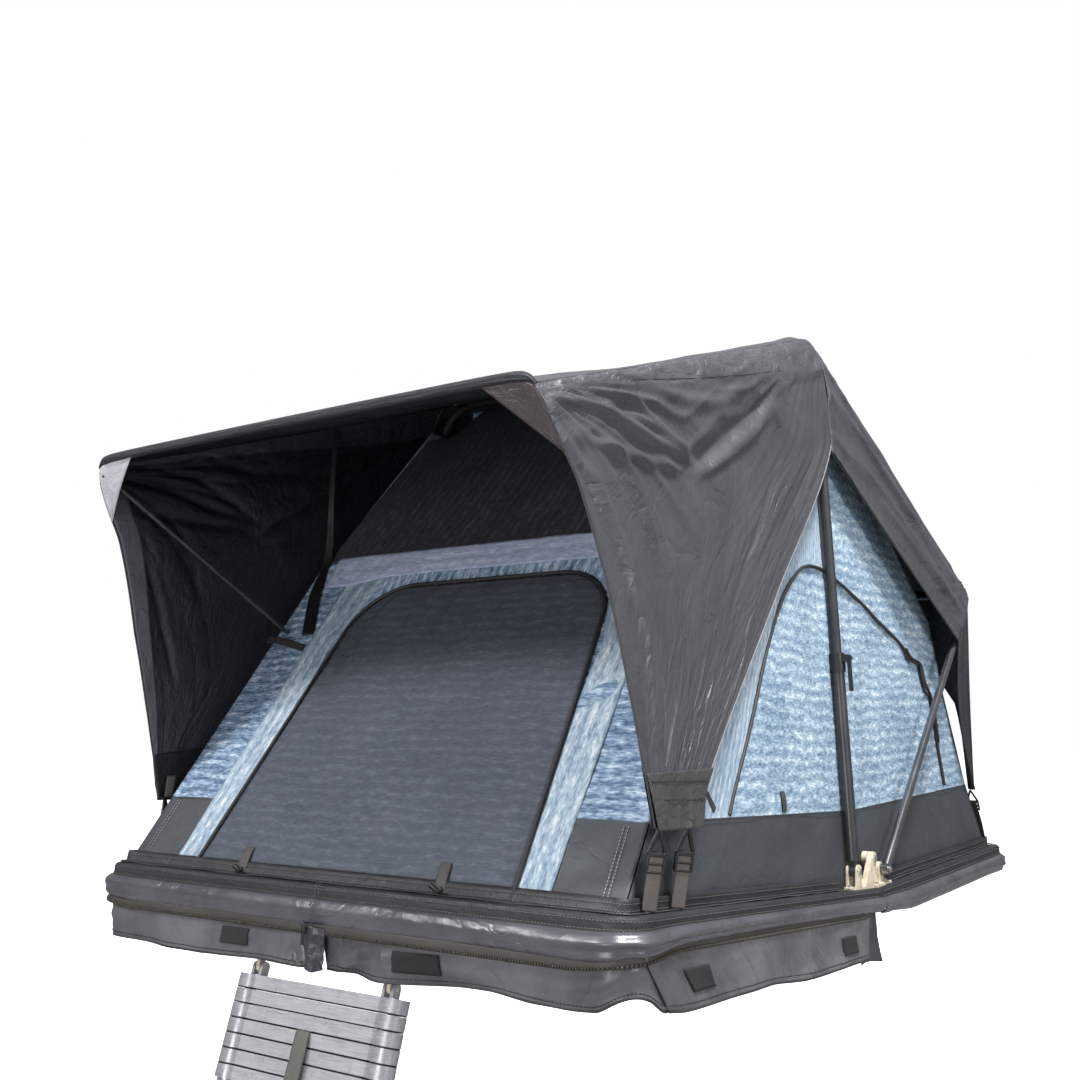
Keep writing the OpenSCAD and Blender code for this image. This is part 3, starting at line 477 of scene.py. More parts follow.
inSpace = {"coords": "Object"}  # patterns laid through space, not on the flat cloth
woven = {"threads": 260.0, "coords": "Object"}
cloths = {  # name, dark, light, roughness, crumple scale and depth, what else differs
    "fly": ("flyCoated", (0.044, 0.044, 0.053), (0.062, 0.062, 0.074), 0.40, 7.0, 0.005, {"coat": 0.08}),
    "flyTop": ("flyTop", (0.036, 0.036, 0.043), (0.052, 0.052, 0.061), 0.66, 9.0, 0.0025,
               {"roughSpan": 0.06}),
    # a slightly lighter copy of the fly cloth with finer crinkles for the slack band under the roof seam; its
    # extra lightness is painted sheen
    "flyBand": ("flyBand", (0.046, 0.047, 0.055), (0.068, 0.069, 0.080), 0.42, 11.0, 0.006, {"coat": 0.05}),
    "flyUnder": ("flyUnder", (0.016, 0.017, 0.022), (0.026, 0.027, 0.034), 0.42, 16.0, 0.004, {}),
    "flyShade": ("flyBlackout", (0.003, 0.003, 0.003), (0.006, 0.006, 0.007), 0.6, 16.0, 0.003, {}),
    # a lighter copy of the fly cloth for the wings' turned-in front edges: painted sheen
    "facingPaintedSheen": ("wingFacing", (0.075, 0.073, 0.085), (0.135, 0.131, 0.150), 0.4, 12.0, 0.004, {}),
    "patch": ("cornerPatch", (0.040, 0.032, 0.034), (0.075, 0.062, 0.064), 0.38, 22.0, 0.003, {}),
    "tab": ("tabPatch", (0.042, 0.040, 0.041), (0.062, 0.059, 0.060), 0.42, 20.0, 0.004, {}),
    # a pale copy of the corner patch cloth: painted light for the left corner patch, which is the same cloth
    # as the right one
    "patchPaintedLight": ("cornerPatchPale", (0.42, 0.41, 0.46), (0.56, 0.55, 0.60), 0.4, 22.0, 0.003, {}),
    "band": ("wallBand", (0.034, 0.039, 0.046), (0.051, 0.057, 0.066), 0.6, 9.0, 0.002, {}),
    "pvc": ("stripPvc", (0.050, 0.047, 0.058), (0.090, 0.086, 0.103), 0.33, 3.2, 0.010,
            {"scale": 6.0, "coat": 0.22}),
    "pvcDark": ("flapPvc", (0.026, 0.024, 0.032), (0.044, 0.041, 0.053), 0.40, 14.0, 0.004, {"scale": 6.0}),
    "tape": ("footTape", (0.013, 0.013, 0.016), (0.024, 0.024, 0.028), 0.6, 20.0, 0.002, {}),
    "coverTape": ("coverTape", (0.032, 0.030, 0.027), (0.055, 0.052, 0.047), 0.6, 20.0, 0.001, {}),
    # the skirt cloth's wide dark-to-light mottle is partly tone that varies at random and partly painted
    # sheen, the light clouds on its shiny folds
    "skirt": ("skirtCloth", (0.042, 0.041, 0.047), (0.160, 0.157, 0.173), 0.34, 3.5, 0.014, {"coat": 0.14}),
    "hookTape": ("hookTape", (0.010, 0.010, 0.011), (0.024, 0.024, 0.026), 0.9, 60.0, 0.001,
                 {"threads": 900.0}),
    "hem": ("hemTape", (0.016, 0.016, 0.018), (0.035, 0.035, 0.038), 0.6, 20.0, 0.0006, inSpace),
    # the pale hem colour is a painted highlight, used along the wings' rear bindings
    "hemPale": ("hemPale", (0.13, 0.13, 0.14), (0.22, 0.22, 0.24), 0.6, 20.0, 0.0006, inSpace),
    "thread": ("thread", (0.24, 0.24, 0.25), (0.42, 0.42, 0.44), 0.7, 80.0, 0.0003, inSpace),
    "threadMid": ("threadMid", (0.085, 0.085, 0.09), (0.14, 0.14, 0.145), 0.7, 80.0, 0.0003, inSpace),
    "threadDark": ("threadDark", (0.012, 0.012, 0.014), (0.03, 0.03, 0.033), 0.7, 80.0, 0.0003, inSpace),
    "webbing": ("webbing", (0.022, 0.022, 0.024), (0.055, 0.055, 0.057), 0.65, 30.0, 0.0006, woven),
    "strapWeb": ("strapWebbing", (0.070, 0.062, 0.057), (0.125, 0.112, 0.104), 0.7, 30.0, 0.0006, woven),
    "tan": ("tieWebbing", (0.046, 0.041, 0.040), (0.070, 0.063, 0.061), 0.7, 30.0, 0.0006, woven),
    "greyWebbing": ("ladderWebbing", (0.060, 0.060, 0.054), (0.115, 0.115, 0.104), 0.65, 30.0, 0.0006,
                    woven),
    "pad": ("mattressCover", (0.30, 0.31, 0.33), (0.42, 0.43, 0.45), 0.85, 9.0, 0.001,
            {"threads": 500.0, "coords": "Object"}),
}
prints = {  # name, stops, what else differs
    "sea": ("wallPrint", seaStops, {}),
    "seaPaintedShade": ("frontPrint", shadedSeaStops, {}),
    "seaTurnedPaintedLight": ("archPrint", litArchStops, {"turn": True}),
    "seaPale": ("bindingPrint", paleStops, {"turn": True}),
    "haze": ("headerPrint", hazeStops, {}),
    "net": ("doorCloth", netStops, {"rough": 0.7, "threads": 520.0}),
    "inner": ("innerCloth", nightStops, {"rough": 0.6, "turn": True}),
}
solids = {  # name, dark, light, roughness, metal, scale, what else differs
    "zip": ("zipTeeth", (0.025, 0.022, 0.017), (0.070, 0.062, 0.047), 0.45, 0.3, 120.0, {}),
    "blackPlastic": ("blackPlastic", (0.004, 0.004, 0.005), (0.010, 0.010, 0.011), 0.48, 0.0, 60.0, {}),
    "poleBlack": ("poleBlack", (0.030, 0.030, 0.034), (0.052, 0.051, 0.057), 0.36, 0.3, 8.0,
                  {"coat": 0.2, "depth": 0.00002, "span": 0.04}),
    "armPole": ("armPole", (0.060, 0.060, 0.064), (0.115, 0.115, 0.12), 0.3, 0.5, 14.0, {"coat": 0.2}),
    "poleMatte": ("poleMatte", (0.014, 0.014, 0.016), (0.025, 0.025, 0.028), 0.6, 0.0, 20.0, {}),
    "poleSilver": ("poleSilver", (0.15, 0.15, 0.16), (0.25, 0.25, 0.27), 0.26, 0.9, 6.0,
                   {"depth": 0.00002, "span": 0.03}),
    "ivory": ("ivoryPlastic", (0.44, 0.38, 0.27), (0.70, 0.64, 0.50), 0.5, 0.0, 45.0, {"depth": 0.0006}),
    "deck": ("deckPaint", (0.05, 0.05, 0.055), (0.085, 0.085, 0.09), 0.55, 0.0, 12.0, {}),
    "alloy": ("frameAlloy", (0.38, 0.39, 0.40), (0.55, 0.56, 0.57), 0.42, 0.9, 22.0,
              {"lines": (1, 0.2, 1)}),
    "railPaint": ("railPaint", (0.012, 0.012, 0.013), (0.03, 0.03, 0.032), 0.45, 0.0, 20.0, {}),
    "zinc": ("zincPlate", (0.42, 0.42, 0.42), (0.66, 0.66, 0.65), 0.32, 0.95, 70.0, {}),
}
finishes = {
    "ladder": ladderFinish("ladderAlloy", ((0.40, 0.40, 0.43), (0.56, 0.56, 0.59)),
                           ((0.26, 0.27, 0.29), (0.42, 0.43, 0.45)), 0.34),
}
for maker, table in ((clothFinish, cloths), (printFinish, prints), (solidFinish, solids)):
    for key, (*row, more) in table.items():
        finishes[key] = maker(*row, **more)

cadFinish = {
    "deck": ["rear_panel", "front_panel"],
    "alloy": ["rear_frame", "front_frame"],
    "railPaint": ["mount_rails"],
    "zinc": ["rail_bolts", "rear_hub_bolts", "front_hub_bolts", "hinge_pins", "ridge_pole_pins",
             "rear_bow_pins"],
    "ivory": ["rear_hub_left", "rear_hub_right", "front_hub_left", "front_hub_right", "upright_feet",
              "ladder_hooks"],
    "poleBlack": ["lower_tube_left", "lower_tube_right", "upright_left", "upright_right"],
    "armPole": ["awning_arm_left", "awning_arm_right"],
    "poleMatte": ["upper_bow_left", "upper_bow_right", "ridge_sleeve"],
    "poleSilver": ["rear_bow"],
    "blackPlastic": ["clamp_collar_left", "clamp_collar_right", "clamp_lever_left", "clamp_lever_right"],
    "ladder": [f"ladder_{k}" for k in range(1, 10)],
}
for finish, names in cadFinish.items():
    for name in names:
        nodes[name].data.materials.clear()
        nodes[name].data.materials.append(finishes[finish])

print("stage: tools for cloth")


def clothGrid(across, down, place, flat, lift=None, flip=False):
    bm = bmesh.new()
    uvs = bm.loops.layers.uv.new("UVMap")
    bmesh.ops.create_grid(bm, x_segments=across, y_segments=down, size=0.5)
    spot = {v: (v.co.x + 0.5, v.co.y + 0.5) for v in bm.verts}
    for face in bm.faces:
        for loop in face.loops:
            u, v = spot[loop.vert]
            loop[uvs].uv = (u * flat[0], v * flat[1])
    for vert, (u, v) in spot.items():
        vert.co = place(u, v)
    if flip:
        bmesh.ops.reverse_faces(bm, faces=bm.faces)
    bm.normal_update()
    if lift:
        normals = {v: v.normal.copy() for v in bm.verts}
        for vert, (u, v) in spot.items():
            vert.co += normals[vert] * (lift(u, v) / 1000)
    return bm, spot


def middle(face, spot):  # where on the flat cloth a face lies
    return [sum(spot[v][k] for v in face.verts) / 4 for k in (0, 1)]


decks = {"front_base": (frontUp, onFront), "rear_base": ((0, 0, 1), onRear)}
packed = {"height": 2, "keep": 0.012}  # where the closed tent's cloth would lie, and how flat


def addPiece(name, bm, looks, body, thick=0.0, side=-1.0, soft=True, lining=0):
    mesh = bpy.data.meshes.new(name)
    bm.to_mesh(mesh)
    bm.free()
    return addMesh(name, mesh, looks, body, thick, side, soft, lining)


def addMesh(name, mesh, looks, body, thick=0.0, side=-1.0, soft=True, lining=0):
    for look in looks:
        mesh.materials.append(finishes[look])
    mesh.polygons.foreach_set("use_smooth", [True] * len(mesh.polygons))
    ob = bpy.data.objects.new(name, mesh)
    scene.collection.objects.link(ob)
    if thick:
        wall = ob.modifiers.new("thickness", "SOLIDIFY")
        wall.thickness = thick / 1000
        wall.offset = side
        wall.material_offset = lining
    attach(ob, body)
    if soft and body in decks:
        axis, place = decks[body]
        anchor = tuple(place(0, 0, packed["height"]))
        tuple(axis)
        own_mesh(ob)
    return ob


def pipeMesh(points, radius, sides=2, narrow=None):
    curve = bpy.data.curves.new("pipe", "CURVE")
    curve.dimensions = "3D"
    curve.bevel_depth = radius / 1000
    curve.bevel_resolution = sides
    curve.use_fill_caps = True
    spline = curve.splines.new("POLY")
    spline.points.add(len(points) - 1)
    for i, p in enumerate(points):
        spline.points[i].co = (*p, 1)
        if narrow:
            spline.points[i].radius = narrow(i / (len(points) - 1))
    ob = bpy.data.objects.new("pipe", curve)
    scene.collection.objects.link(ob)
    mesh = bpy.data.meshes.new_from_object(ob.evaluated_get(bpy.context.evaluated_depsgraph_get()))
    bpy.data.objects.remove(ob)
    bpy.data.curves.remove(curve)
    mesh.materials.clear()
    return mesh


def sample(fn, count, start=0.0, stop=1.0):
    return [fn(mix(start, stop, i / count)) for i in range(count + 1)]


def stitchRow(name, points, body, look="thread", long=4.5, wide=1.3, gap=3.2, soft=True):
    bm = bmesh.new()
    shape = Matrix.Diagonal((long / 1000, wide / 1000, wide / 1000, 1))
    due = 0.0
    for a, b in zip(points, points[1:]):
        run = (b - a).length * 1000
        turn = (b - a).to_track_quat("X", "Z").to_matrix().to_4x4()
        while due < run:
            place = Matrix.Translation(a.lerp(b, due / run)) @ turn
            bmesh.ops.create_cube(bm, size=1.0, matrix=place @ shape)
            due += long + gap
        due -= run
    return addPiece(name, bm, [look], body, soft=soft)


def blockMesh(bm, matrix, size, bevel):
    shape = Matrix.Diagonal((*[s / 1000 for s in size], 1))
    made = bmesh.ops.create_cube(bm, size=1.0, matrix=matrix @ shape)
    edges = list({e for v in made["verts"] for e in v.link_edges})
    bmesh.ops.bevel(bm, geom=edges, offset=bevel / 1000, segments=2, profile=0.5, affect="EDGES", material=-1)


print("stage: fly")
sides = ((-1, "Left"), (1, "Right"))
ridge = {"y": -75, "z": 1465, "half": 600}
ridgeF = toFront(ridge["y"] - 4, ridge["z"] + 16.5)
poleF = toFront(ridge["y"] - 4, ridge["z"] - 318)
flyFront = {
    "roofGrid": (120, 130),
    "wingGrid": (210, 160),
    "roofFlat": (1.42, 1.31),
    "wingFlat": (1.42, 1.0),
    "long": 1.35,
    "tall": 1.65,
    "seam": 0.395,
    "sag": 16,
    "belly": 10,
    "rear": [(0.0, (0, ridgeF[0], ridgeF[1])), (0.2, (320, ridgeF[0], ridgeF[1])),
             (0.33, (540, ridgeF[0], ridgeF[1])), (0.38, (600, ridgeF[0], ridgeF[1] - 3)),
             (0.41, (636, ridgeF[0] + 2, ridgeF[1] - 22)), (0.45, (662, ridgeF[0] + 5, ridgeF[1] - 62)),
             (0.50, (682, ridgeF[0] + 12, ridgeF[1] - 150)), (0.57, (688, poleF[0], poleF[1])),
             (0.76, (714, mix(poleF[0], -953, 0.5), mix(poleF[1], 259, 0.5))),
             (0.95, (738, -953, 259)), (1.0, (743, -1000, 166))],
    "front": [(0.0, (0, -1462, 946)), (0.2, (330, -1462, 945)), (0.33, (568, -1462, 943)),
              (0.38, (620, -1461, 938)), (0.41, (641, -1458, 924)), (0.45, (651, -1442, 892)),
              (0.50, (660, -1410, 842)), (0.57, (674, -1352, 760)), (0.70, (700, -1276, 560)),
              (0.83, (722, -1222, 360)), (0.95, (736, -1199, 246)), (1.0, (743, -1176, 160))],
    "drawnBack": [(0.57, 0), (0.70, 10), (0.83, 38), (0.95, 60), (1.0, 66)],  # the left edge is tied back
}


def flyFrontAt(u, v, out=0.0):  # u from the ridge to the awning edge, v from tab to tab
    a = abs(v - 0.5) * 2
    side = -1 if v < 0.5 else 1
    front = along(flyFront["front"], a)
    if side < 0:
        front.y += lineAt(flyFront["drawnBack"], a)
    p = along(flyFront["rear"], a).lerp(front, u)
    roof = 1 - ease((a - 0.34) / 0.1)
    hang = math.sin(math.pi * u) * flyFront["sag"] * roof * (1 - 0.5 * (a / 0.4) ** 2)
    wing = ease((a - 0.44) / 0.12) * math.sin(math.pi * clamp((a - 0.42) / 0.56)) * math.sin(math.pi * u)
    return onFront(side * (p.x - flyFront["belly"] * wing + out), p.y, p.z - hang)


def onWing(side, u, a, out=0.0):  # a from the middle of the roof to one wing's tab
    return flyFrontAt(u, 0.5 + side * a / 2, out)


def swag(x, y, seed):  # nested folds slung between the awning corner and the ridge end
    low = lineAt([(0.0, 0.74), (0.34, 0.817), (0.858, 0.925), (1.10, 0.83), (1.32, 0.70)], x)
    t = (y - 0.68) / max(low - 0.68, 0.03) + 0.22 * grain(x * 5, y * 6, seed)
    ridgeLine = 1 - abs(math.sin(math.pi * 3.5 * t))
    d = ridgeLine**2 * ease((t - 0.12) / 0.2) * (1 - ease((t - 1.0) / 0.25))
    return d * (0.5 + 0.5 * grain(x * 3, y, seed + 1))


longCreases = [
    ([(1.295, 0.86), (1.28, 0.95), (1.255, 1.04), (1.225, 1.13), (1.19, 1.22), (1.15, 1.31)], 6.0, 0.018),
    ([(1.22, 0.80), (1.12, 0.98), (1.05, 1.12)], 4.0, 0.018),
    ([(1.32, 0.72), (1.16, 0.79), (1.02, 0.87), (0.858, 0.925)], 9.0, 0.014),
    ([(1.20, 0.71), (1.05, 0.78), (0.95, 0.86), (0.858, 0.925)], 8.0, 0.012),
    ([(1.28, 0.84), (1.10, 0.90), (0.92, 0.935)], 7.0, 0.013),
    ([(0.858, 0.925), (0.62, 0.875), (0.34, 0.817)], -10.0, 0.018),
    ([(0.84, 0.955), (0.62, 0.905), (0.36, 0.845)], 7.0, 0.014),
    ([(0.98, 0.74), (0.84, 0.80), (0.66, 0.82), (0.50, 0.78)], 7.0, 0.018),
    ([(0.36, 0.90), (0.391, 1.06), (0.44, 1.25)], -3.0, 0.024),
    ([(0.16, 0.80), (0.25, 1.00), (0.36, 1.20)], 2.5, 0.026),
    ([(0.07, 0.78), (0.12, 0.95), (0.22, 1.12)], -2.5, 0.022),
    ([(0.95, 1.58), (0.92, 1.47), (0.85, 1.32)], 2.0, 0.018),
    ([(0.40, 1.58), (0.45, 1.44), (0.52, 1.30)], 1.5, 0.020),
]


def rollAt(u):  # foot of the slack band under the roof seam
    return lineAt([(0.0, 0.478), (0.3, 0.468), (0.55, 0.447), (0.8, 0.425), (1.0, 0.408)], u)


def wingFolds(u, a, seed):
    x, y = u * flyFront["long"], a * flyFront["tall"]  # metres over the cloth
    below = ease((a - rollAt(u)) / 0.02)
    d = 15 * swag(x, y, seed + 30)
    d += 7 * fan(x, y, 1.38, 0.66, 8.0, 0.7, seed)
    d += 3.5 * fan(x, y, -0.02, 0.68, 9.0, 0.6, seed + 3)
    d += 1.6 * fan(x, y, 0.66, 1.68, 9.0, 0.3, seed + 5)
    edges = 0.4 * math.exp(-((x / 0.28) ** 2)) + math.exp(-(((flyFront["long"] - x) / 0.2) ** 2))
    d += 2.2 * crest(x * 15, y * 0.8, seed + 6) * edges * (1 - 0.8 * ease((y - 0.95) / 0.4))
    d += 5 * crest(x * 6, y * 9, seed + 8) * (1 - ease((y - 0.8) / 0.2))
    d += 1.5 * sum(deep * crease(x, y, path, wide) for path, deep, wide in longCreases)
    d += 4 * grain(x * 5, y * 5, seed + 11)
    d *= below
    d += (1 - below) * (7 + 4 * crest(x * 9, y * 14, seed + 13) + 3 * grain(x * 22, y * 22, seed + 15))
    corner = ease(math.hypot(flyFront["long"] - x, y - 0.66) / 0.1)
    return d * corner * ease(min(u, 1 - u) / 0.02 + 0.1) * ease((a - flyFront["seam"]) / 0.012)


def roofFolds(u, w):
    x, y = u * flyFront["long"], (w - 0.5) * flyFront["roofFlat"][1]
    d = 4 * grain(x * 4, y * 5, 21) + 5 * crest(x * 1.2, y * 9, 23) * ease(u / 0.2)
    d += 4 * crest(x * 8, y * 3, 25) * math.exp(-((x / 0.12) ** 2))
    return d * ease(min(u, 1 - u) / 0.02 + 0.25) * ease(min(w, 1 - w) / 0.03)


seam = flyFront["seam"]


def roofAt(u, w):
    return flyFrontAt(u, 0.5 + (w - 0.5) * seam)


bm, spot = clothGrid(*flyFront["roofGrid"], roofAt, flyFront["roofFlat"], roofFolds)
piece = addPiece("flyRoof", bm, ["flyTop", "flyShade"], "front_base", 1.4, lining=1)
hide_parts("fly_front")
for side, name in sides:
    def wingAt(u, w):
        return onWing(side, u, mix(seam, 1, w))

    def foldsAt(u, w):
        return wingFolds(u, mix(seam, 1, w), 1.5 + side / 2)

    bm, spot = clothGrid(*flyFront["wingGrid"], wingAt, flyFront["wingFlat"], foldsAt, flip=side < 0)
    # faces of the slack band take the lighter band copy, painted sheen
    for face in bm.faces:
        u, w = middle(face, spot)
        if mix(seam, 1, w) < rollAt(u):
            face.material_index = 2
    piece = addPiece("flyWing" + name, bm, ["fly", "flyUnder", "flyBand"], "front_base", 1.4, lining=1)
    line = sample(lambda t: onWing(side, t, seam), 90)
    addMesh("roofSeam" + name, pipeMesh(line, 2.6), ["fly"], "front_base")

flyRear = {
    "grid": (120, 220),
    "flat": (1.28, 2.2),
    "sag": 14,
    "roof": 0.56,
    "ridge": [(0.0, (0, -71, 1481.5)), (0.3, (320, -71, 1481.5)), (0.5, (540, -71, 1481.5)),
              (0.58, (600, -71, 1478.5)), (0.63, (636, -70, 1459)), (0.69, (662, -70, 1419)),
              (0.80, (682, -71, 1331)), (1.0, (688, -71, 1147))],
    "eave": [(0.0, (0, 1038, 866)), (0.3, (340, 1038, 866)), (0.5, (600, 1038, 865)),
             (0.58, (672, 1036, 862)), (0.63, (706, 1030, 855)), (0.69, (732, 1014, 838)),
             (0.80, (747, 950, 782)), (1.0, (752, 814, 677))],
    "pleats": [(0.18, 0.69, 0.97, 0.735), (0.12, 0.79, 0.98, 0.775), (0.30, 0.92, 0.97, 0.85)],
}


def flyRearAt(u, v):  # u from the ridge to the eave, v from flap to flap
    a = abs(v - 0.5) * 2
    side = -1 if v < 0.5 else 1
    p = along(flyRear["ridge"], a).lerp(along(flyRear["eave"], a), u)
    roof = 1 - ease((a - 0.5) / 0.12)
    hang = math.sin(math.pi * u) * flyRear["sag"] * roof * (1 - 0.5 * (a / 0.6) ** 2)
    return onRear(side * p.x, p.y, p.z - hang)


def flyRearFolds(u, v):
    a = abs(v - 0.5) * 2
    seed = 31 if v > 0.5 else 32
    x, y = u * 1.3, a * 1.1
    flap = ease((a - flyRear["roof"]) / 0.1)
    d = flap * (7 * crest(x * 0.9, y * 10, seed) + 4 * fan(x, y, -0.02, 0.68, 5.0, 0.5, seed + 2))
    d += flap * 4 * fan(x, y, 1.3, 0.72, 5.0, 0.5, seed + 4)
    for u0, a0, u1, a1 in flyRear["pleats"]:  # long pleats that run to the flap's rear corner
        t = clamp((u - u0) / (u1 - u0))
        off = a - mix(a0, a1, t) - 0.012 * grain(x * 2.5, a0 * 9, seed + 6)
        d += 7 * math.exp(-((off / 0.022) ** 2)) * math.sin(math.pi * t) ** 0.5
    edge = math.exp(-(((a - 0.6) / 0.045) ** 2)) * ease(u / 0.15) * ease((1 - u) / 0.1)
    scallop = math.sin(21 * u + 4 * grain(u * 2, seed, 33))  # the roof's edge is drawn in between pleats
    d += 8 * edge * scallop
    d += (1 - flap) * (3 * grain(x * 3, y * 4, 37) + 4 * crest(x * 1.1, (v - 0.5) * 16, 39) * ease(u / 0.2))
    return d * ease(min(u, 1 - u) / 0.02 + 0.2)


bm, spot = clothGrid(*flyRear["grid"], flyRearAt, flyRear["flat"], flyRearFolds, flip=True)
for face in bm.faces:
    if abs(middle(face, spot)[1] - 0.5) * 2 < flyRear["roof"]:
        face.material_index = 2
flyRearPiece = addPiece("flyRear", bm, ["fly", "flyUnder", "flyTop"], "rear_base", 1.4, lining=1)
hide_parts("fly_rear")

flyTail = {
    "grid": (170, 40),
    "flat": (1.5, 0.72),
    "top": 866,
    "foot": [(0.0, 712), (0.35, 704), (0.6, 682), (0.75, 640), (0.88, 555), (0.945, 478), (0.965, 370),
             (0.975, 198), (1.0, 196)],
}


def flyTailAt(u, v):  # u across, v from the eave down to an arched hem
    t = u * 2 - 1
    foot = lineAt(flyTail["foot"], abs(t))
    fall = (flyTail["top"] - foot) / 670 * v
    wave = 9 * fall * math.sin(math.radians(900 * t)) + 10 * fall * grain(t * 4.5, v * 0.9, 41)
    corner = 26 * ease((abs(t) - 0.86) / 0.14) * (1 - v)
    y = 1039 + 10 * ease(v / 0.08) + 24 * fall + wave - corner
    return onRear(mix(706, 700, v) * t, y, mix(flyTail["top"] - corner * 0.3, foot, v))


bm, spot = clothGrid(*flyTail["grid"], flyTailAt, flyTail["flat"],
                     lambda u, v: 4 * v * crest(u * 14, v * 0.7, 43))
flyTailPiece = addPiece("flyTail", bm, ["fly", "flyUnder"], "rear_base", 1.4, lining=1)


def gussetAt(side):
    def place(u, v):  # u along the end of the flap, v down to the tail's corner
        top = along(flyRear["eave"], mix(0.63, 1.0, u))
        p = top.lerp(Vector((mix(702, 712, u), mix(1074, 1050, u), 197)), v)
        bow = u * math.sin(math.pi * v)
        return onRear(side * (p.x + 1 - 6 * bow), p.y - 60 * bow, p.z)
    return place


for side, name in sides:
    bm, spot = clothGrid(40, 60, gussetAt(side), (0.3, 0.66),
                         lambda u, v: 5 * crest(u * 4, v * 0.8, 45) * math.sin(math.pi * u), flip=side > 0)
    piece = addPiece("flyGusset" + name, bm, ["fly", "flyUnder"], "rear_base", 1.4, lining=1)
    edge = sample(lambda t: gussetAt(side)(1, t), 60)
    addMesh("gussetHem" + name, pipeMesh(edge, 2.0), ["hem"], "rear_base")

patch = {"from": 0.30, "to": 0.525, "flat": (0.24, 0.09)}


def patchAt(side):  # fills the corner between the awning edge and the wing
    first = onWing(side, 1, patch["from"])
    last = onWing(side, 1, patch["to"])
    ahead = onFront(0, -1.5, 0) - onFront(0, 0, 0)

    def place(u, v):
        edge = onWing(side, 1, mix(patch["from"], patch["to"], u))
        return edge.lerp(first.lerp(last, u), v) + ahead * (1 + 3 * v * math.sin(math.pi * u))

    return place


for side, name in sides:
    bm, spot = clothGrid(36, 14, patchAt(side), patch["flat"],
                         lambda u, v: 3 * crest(u * 3, v * 1.2, 47) * v * (1 - v) * 4, flip=side > 0)
    # both corner patches are the same cloth; the left one is given the pale copy as painted light
    look = "patch" if side > 0 else "patchPaintedLight"
    piece = addPiece("cornerPatch" + name, bm, [look], "front_base", 1.2, 0.0)

hems = {"awning": 10.5, "half": 0.205, "lift": Vector((0, 0, 0.008)), "front": 2.4, "rear": 1.7, "foot": 2.4}
sleeve = sample(lambda t: flyFrontAt(1, t) + hems["lift"], 120, 0.5 - hems["half"], 0.5 + hems["half"])
edgePipe = pipeMesh(sleeve, hems["awning"], 4, lambda t: 0.3 + 0.7 * ease(min(t, 1 - t) / 0.05))
addMesh("awningHem", edgePipe, ["flyUnder"], "front_base")
for side, name in sides:
    front = sample(lambda t: onWing(side, 1, t), 60, 0.44, 1.0)
    addMesh("wingHem" + name, pipeMesh(front, hems["front"]), ["fly"], "front_base")
    foot = sample(lambda t: onWing(side, t, 1), 16)
    addMesh("wingFoot" + name, pipeMesh(foot, hems["foot"]), ["fly"], "front_base")
    rear = sample(lambda t: onWing(side, 0, t), 60, 0.995, 0.56)
    # the rear binding is drawn in the pale hem, a painted highlight along the edge
    addMesh("wingBinding" + name, pipeMesh(rear, hems["rear"]), ["hemPale"], "front_base")

    def facingAt(u, v):  # the turned-in edge of the wing, in a lighter copy of the fly cloth that paints its sheen
        return onWing(side, mix(0.952, 0.999, u), mix(0.47, 0.945, v), -4)

    bm, spot = clothGrid(8, 90, facingAt, (0.05, 0.85), flip=side > 0)
    piece = addPiece("wingFacing" + name, bm, ["facingPaintedSheen"], "front_base", 1.2, 0.0)
    low = sample(lambda t: flyRearAt(t, 0.5 + side * 0.5), 60)
    addMesh("flapHem" + name, pipeMesh(low, hems["foot"]), ["hem"], "rear_base")
arch = sample(lambda t: flyTailAt(t, 1), 170)
addMesh("tailHem", pipeMesh(arch, hems["foot"]), ["hem"], "rear_base")


def ridgeTapeAt(u, v):  # closes the ridge from inside, between the two flies
    a = abs(u * 2 - 1)
    side = -1 if u < 0.5 else 1
    top = along(flyRear["ridge"], a)
    y = mix(-34, 34, v)
    over = 1 - ease((a - flyRear["roof"]) / 0.1)
    drop = (0.39 if y < 0 else 0.56) * abs(y) * over + 4 * over
    return onRear(side * (top.x - 4 * (1 - over)), ridge["y"] + y, top.z - drop)


bm, spot = clothGrid(160, 12, ridgeTapeAt, (2.1, 0.07))
piece = addPiece("ridgeTape", bm, ["flyUnder"], "rear_base", 1.2, 0.0)

print("stage: walls")
wall = {
    "x": 700,
    "lean": math.tan(math.radians(2.86)),
    "foot": -1212,
    "slope": math.radians(57.3),
    "rise": 0.84,  # height gained on the slope
    "top": 1000,
    "band": 195,
    "bandShare": 0.22,
    "grid": (160, 128),
    "flat": (1.4, 1.0),
}
door = {
    "half": 455,
    "foot": 24,
    "upper": 402,
    "arc": 170,
    "arcFrom": 700,
    "zipOut": 7.0,
    "zipGrow": 2.0,
    "grid": (90, 90),
    "flat": (0.92, 0.86),
}


def onWall(x, s, out=0.0):  # a place on the front wall, s up its slope
    c, n = math.cos(wall["slope"]), math.sin(wall["slope"])
    return onFront(x, wall["foot"] + s * c - out * n, 2 + s * n + out * c)


def doorHalf(s):
    if s <= door["arcFrom"]:
        return mix(door["half"], door["upper"], (s - door["foot"]) / (door["arcFrom"] - door["foot"]))
    rise = clamp((s - door["arcFrom"]) / door["arc"])
    return door["upper"] - door["arc"] + door["arc"] * math.sqrt(max(0.0, 1 - rise * rise))


def wallRow(v):  # how far up the slope a row lies
    share = wall["bandShare"]
    if v < share:
        return v / share * wall["band"]
    return mix(wall["band"], wall["top"], (v - share) / (1 - share))


def frontWallAt(u, v):
    s = wallRow(v)
    wide = wall["x"] - 1 - wall["lean"] * math.sin(wall["slope"]) * s
    return onWall((u * 2 - 1) * wide, s)


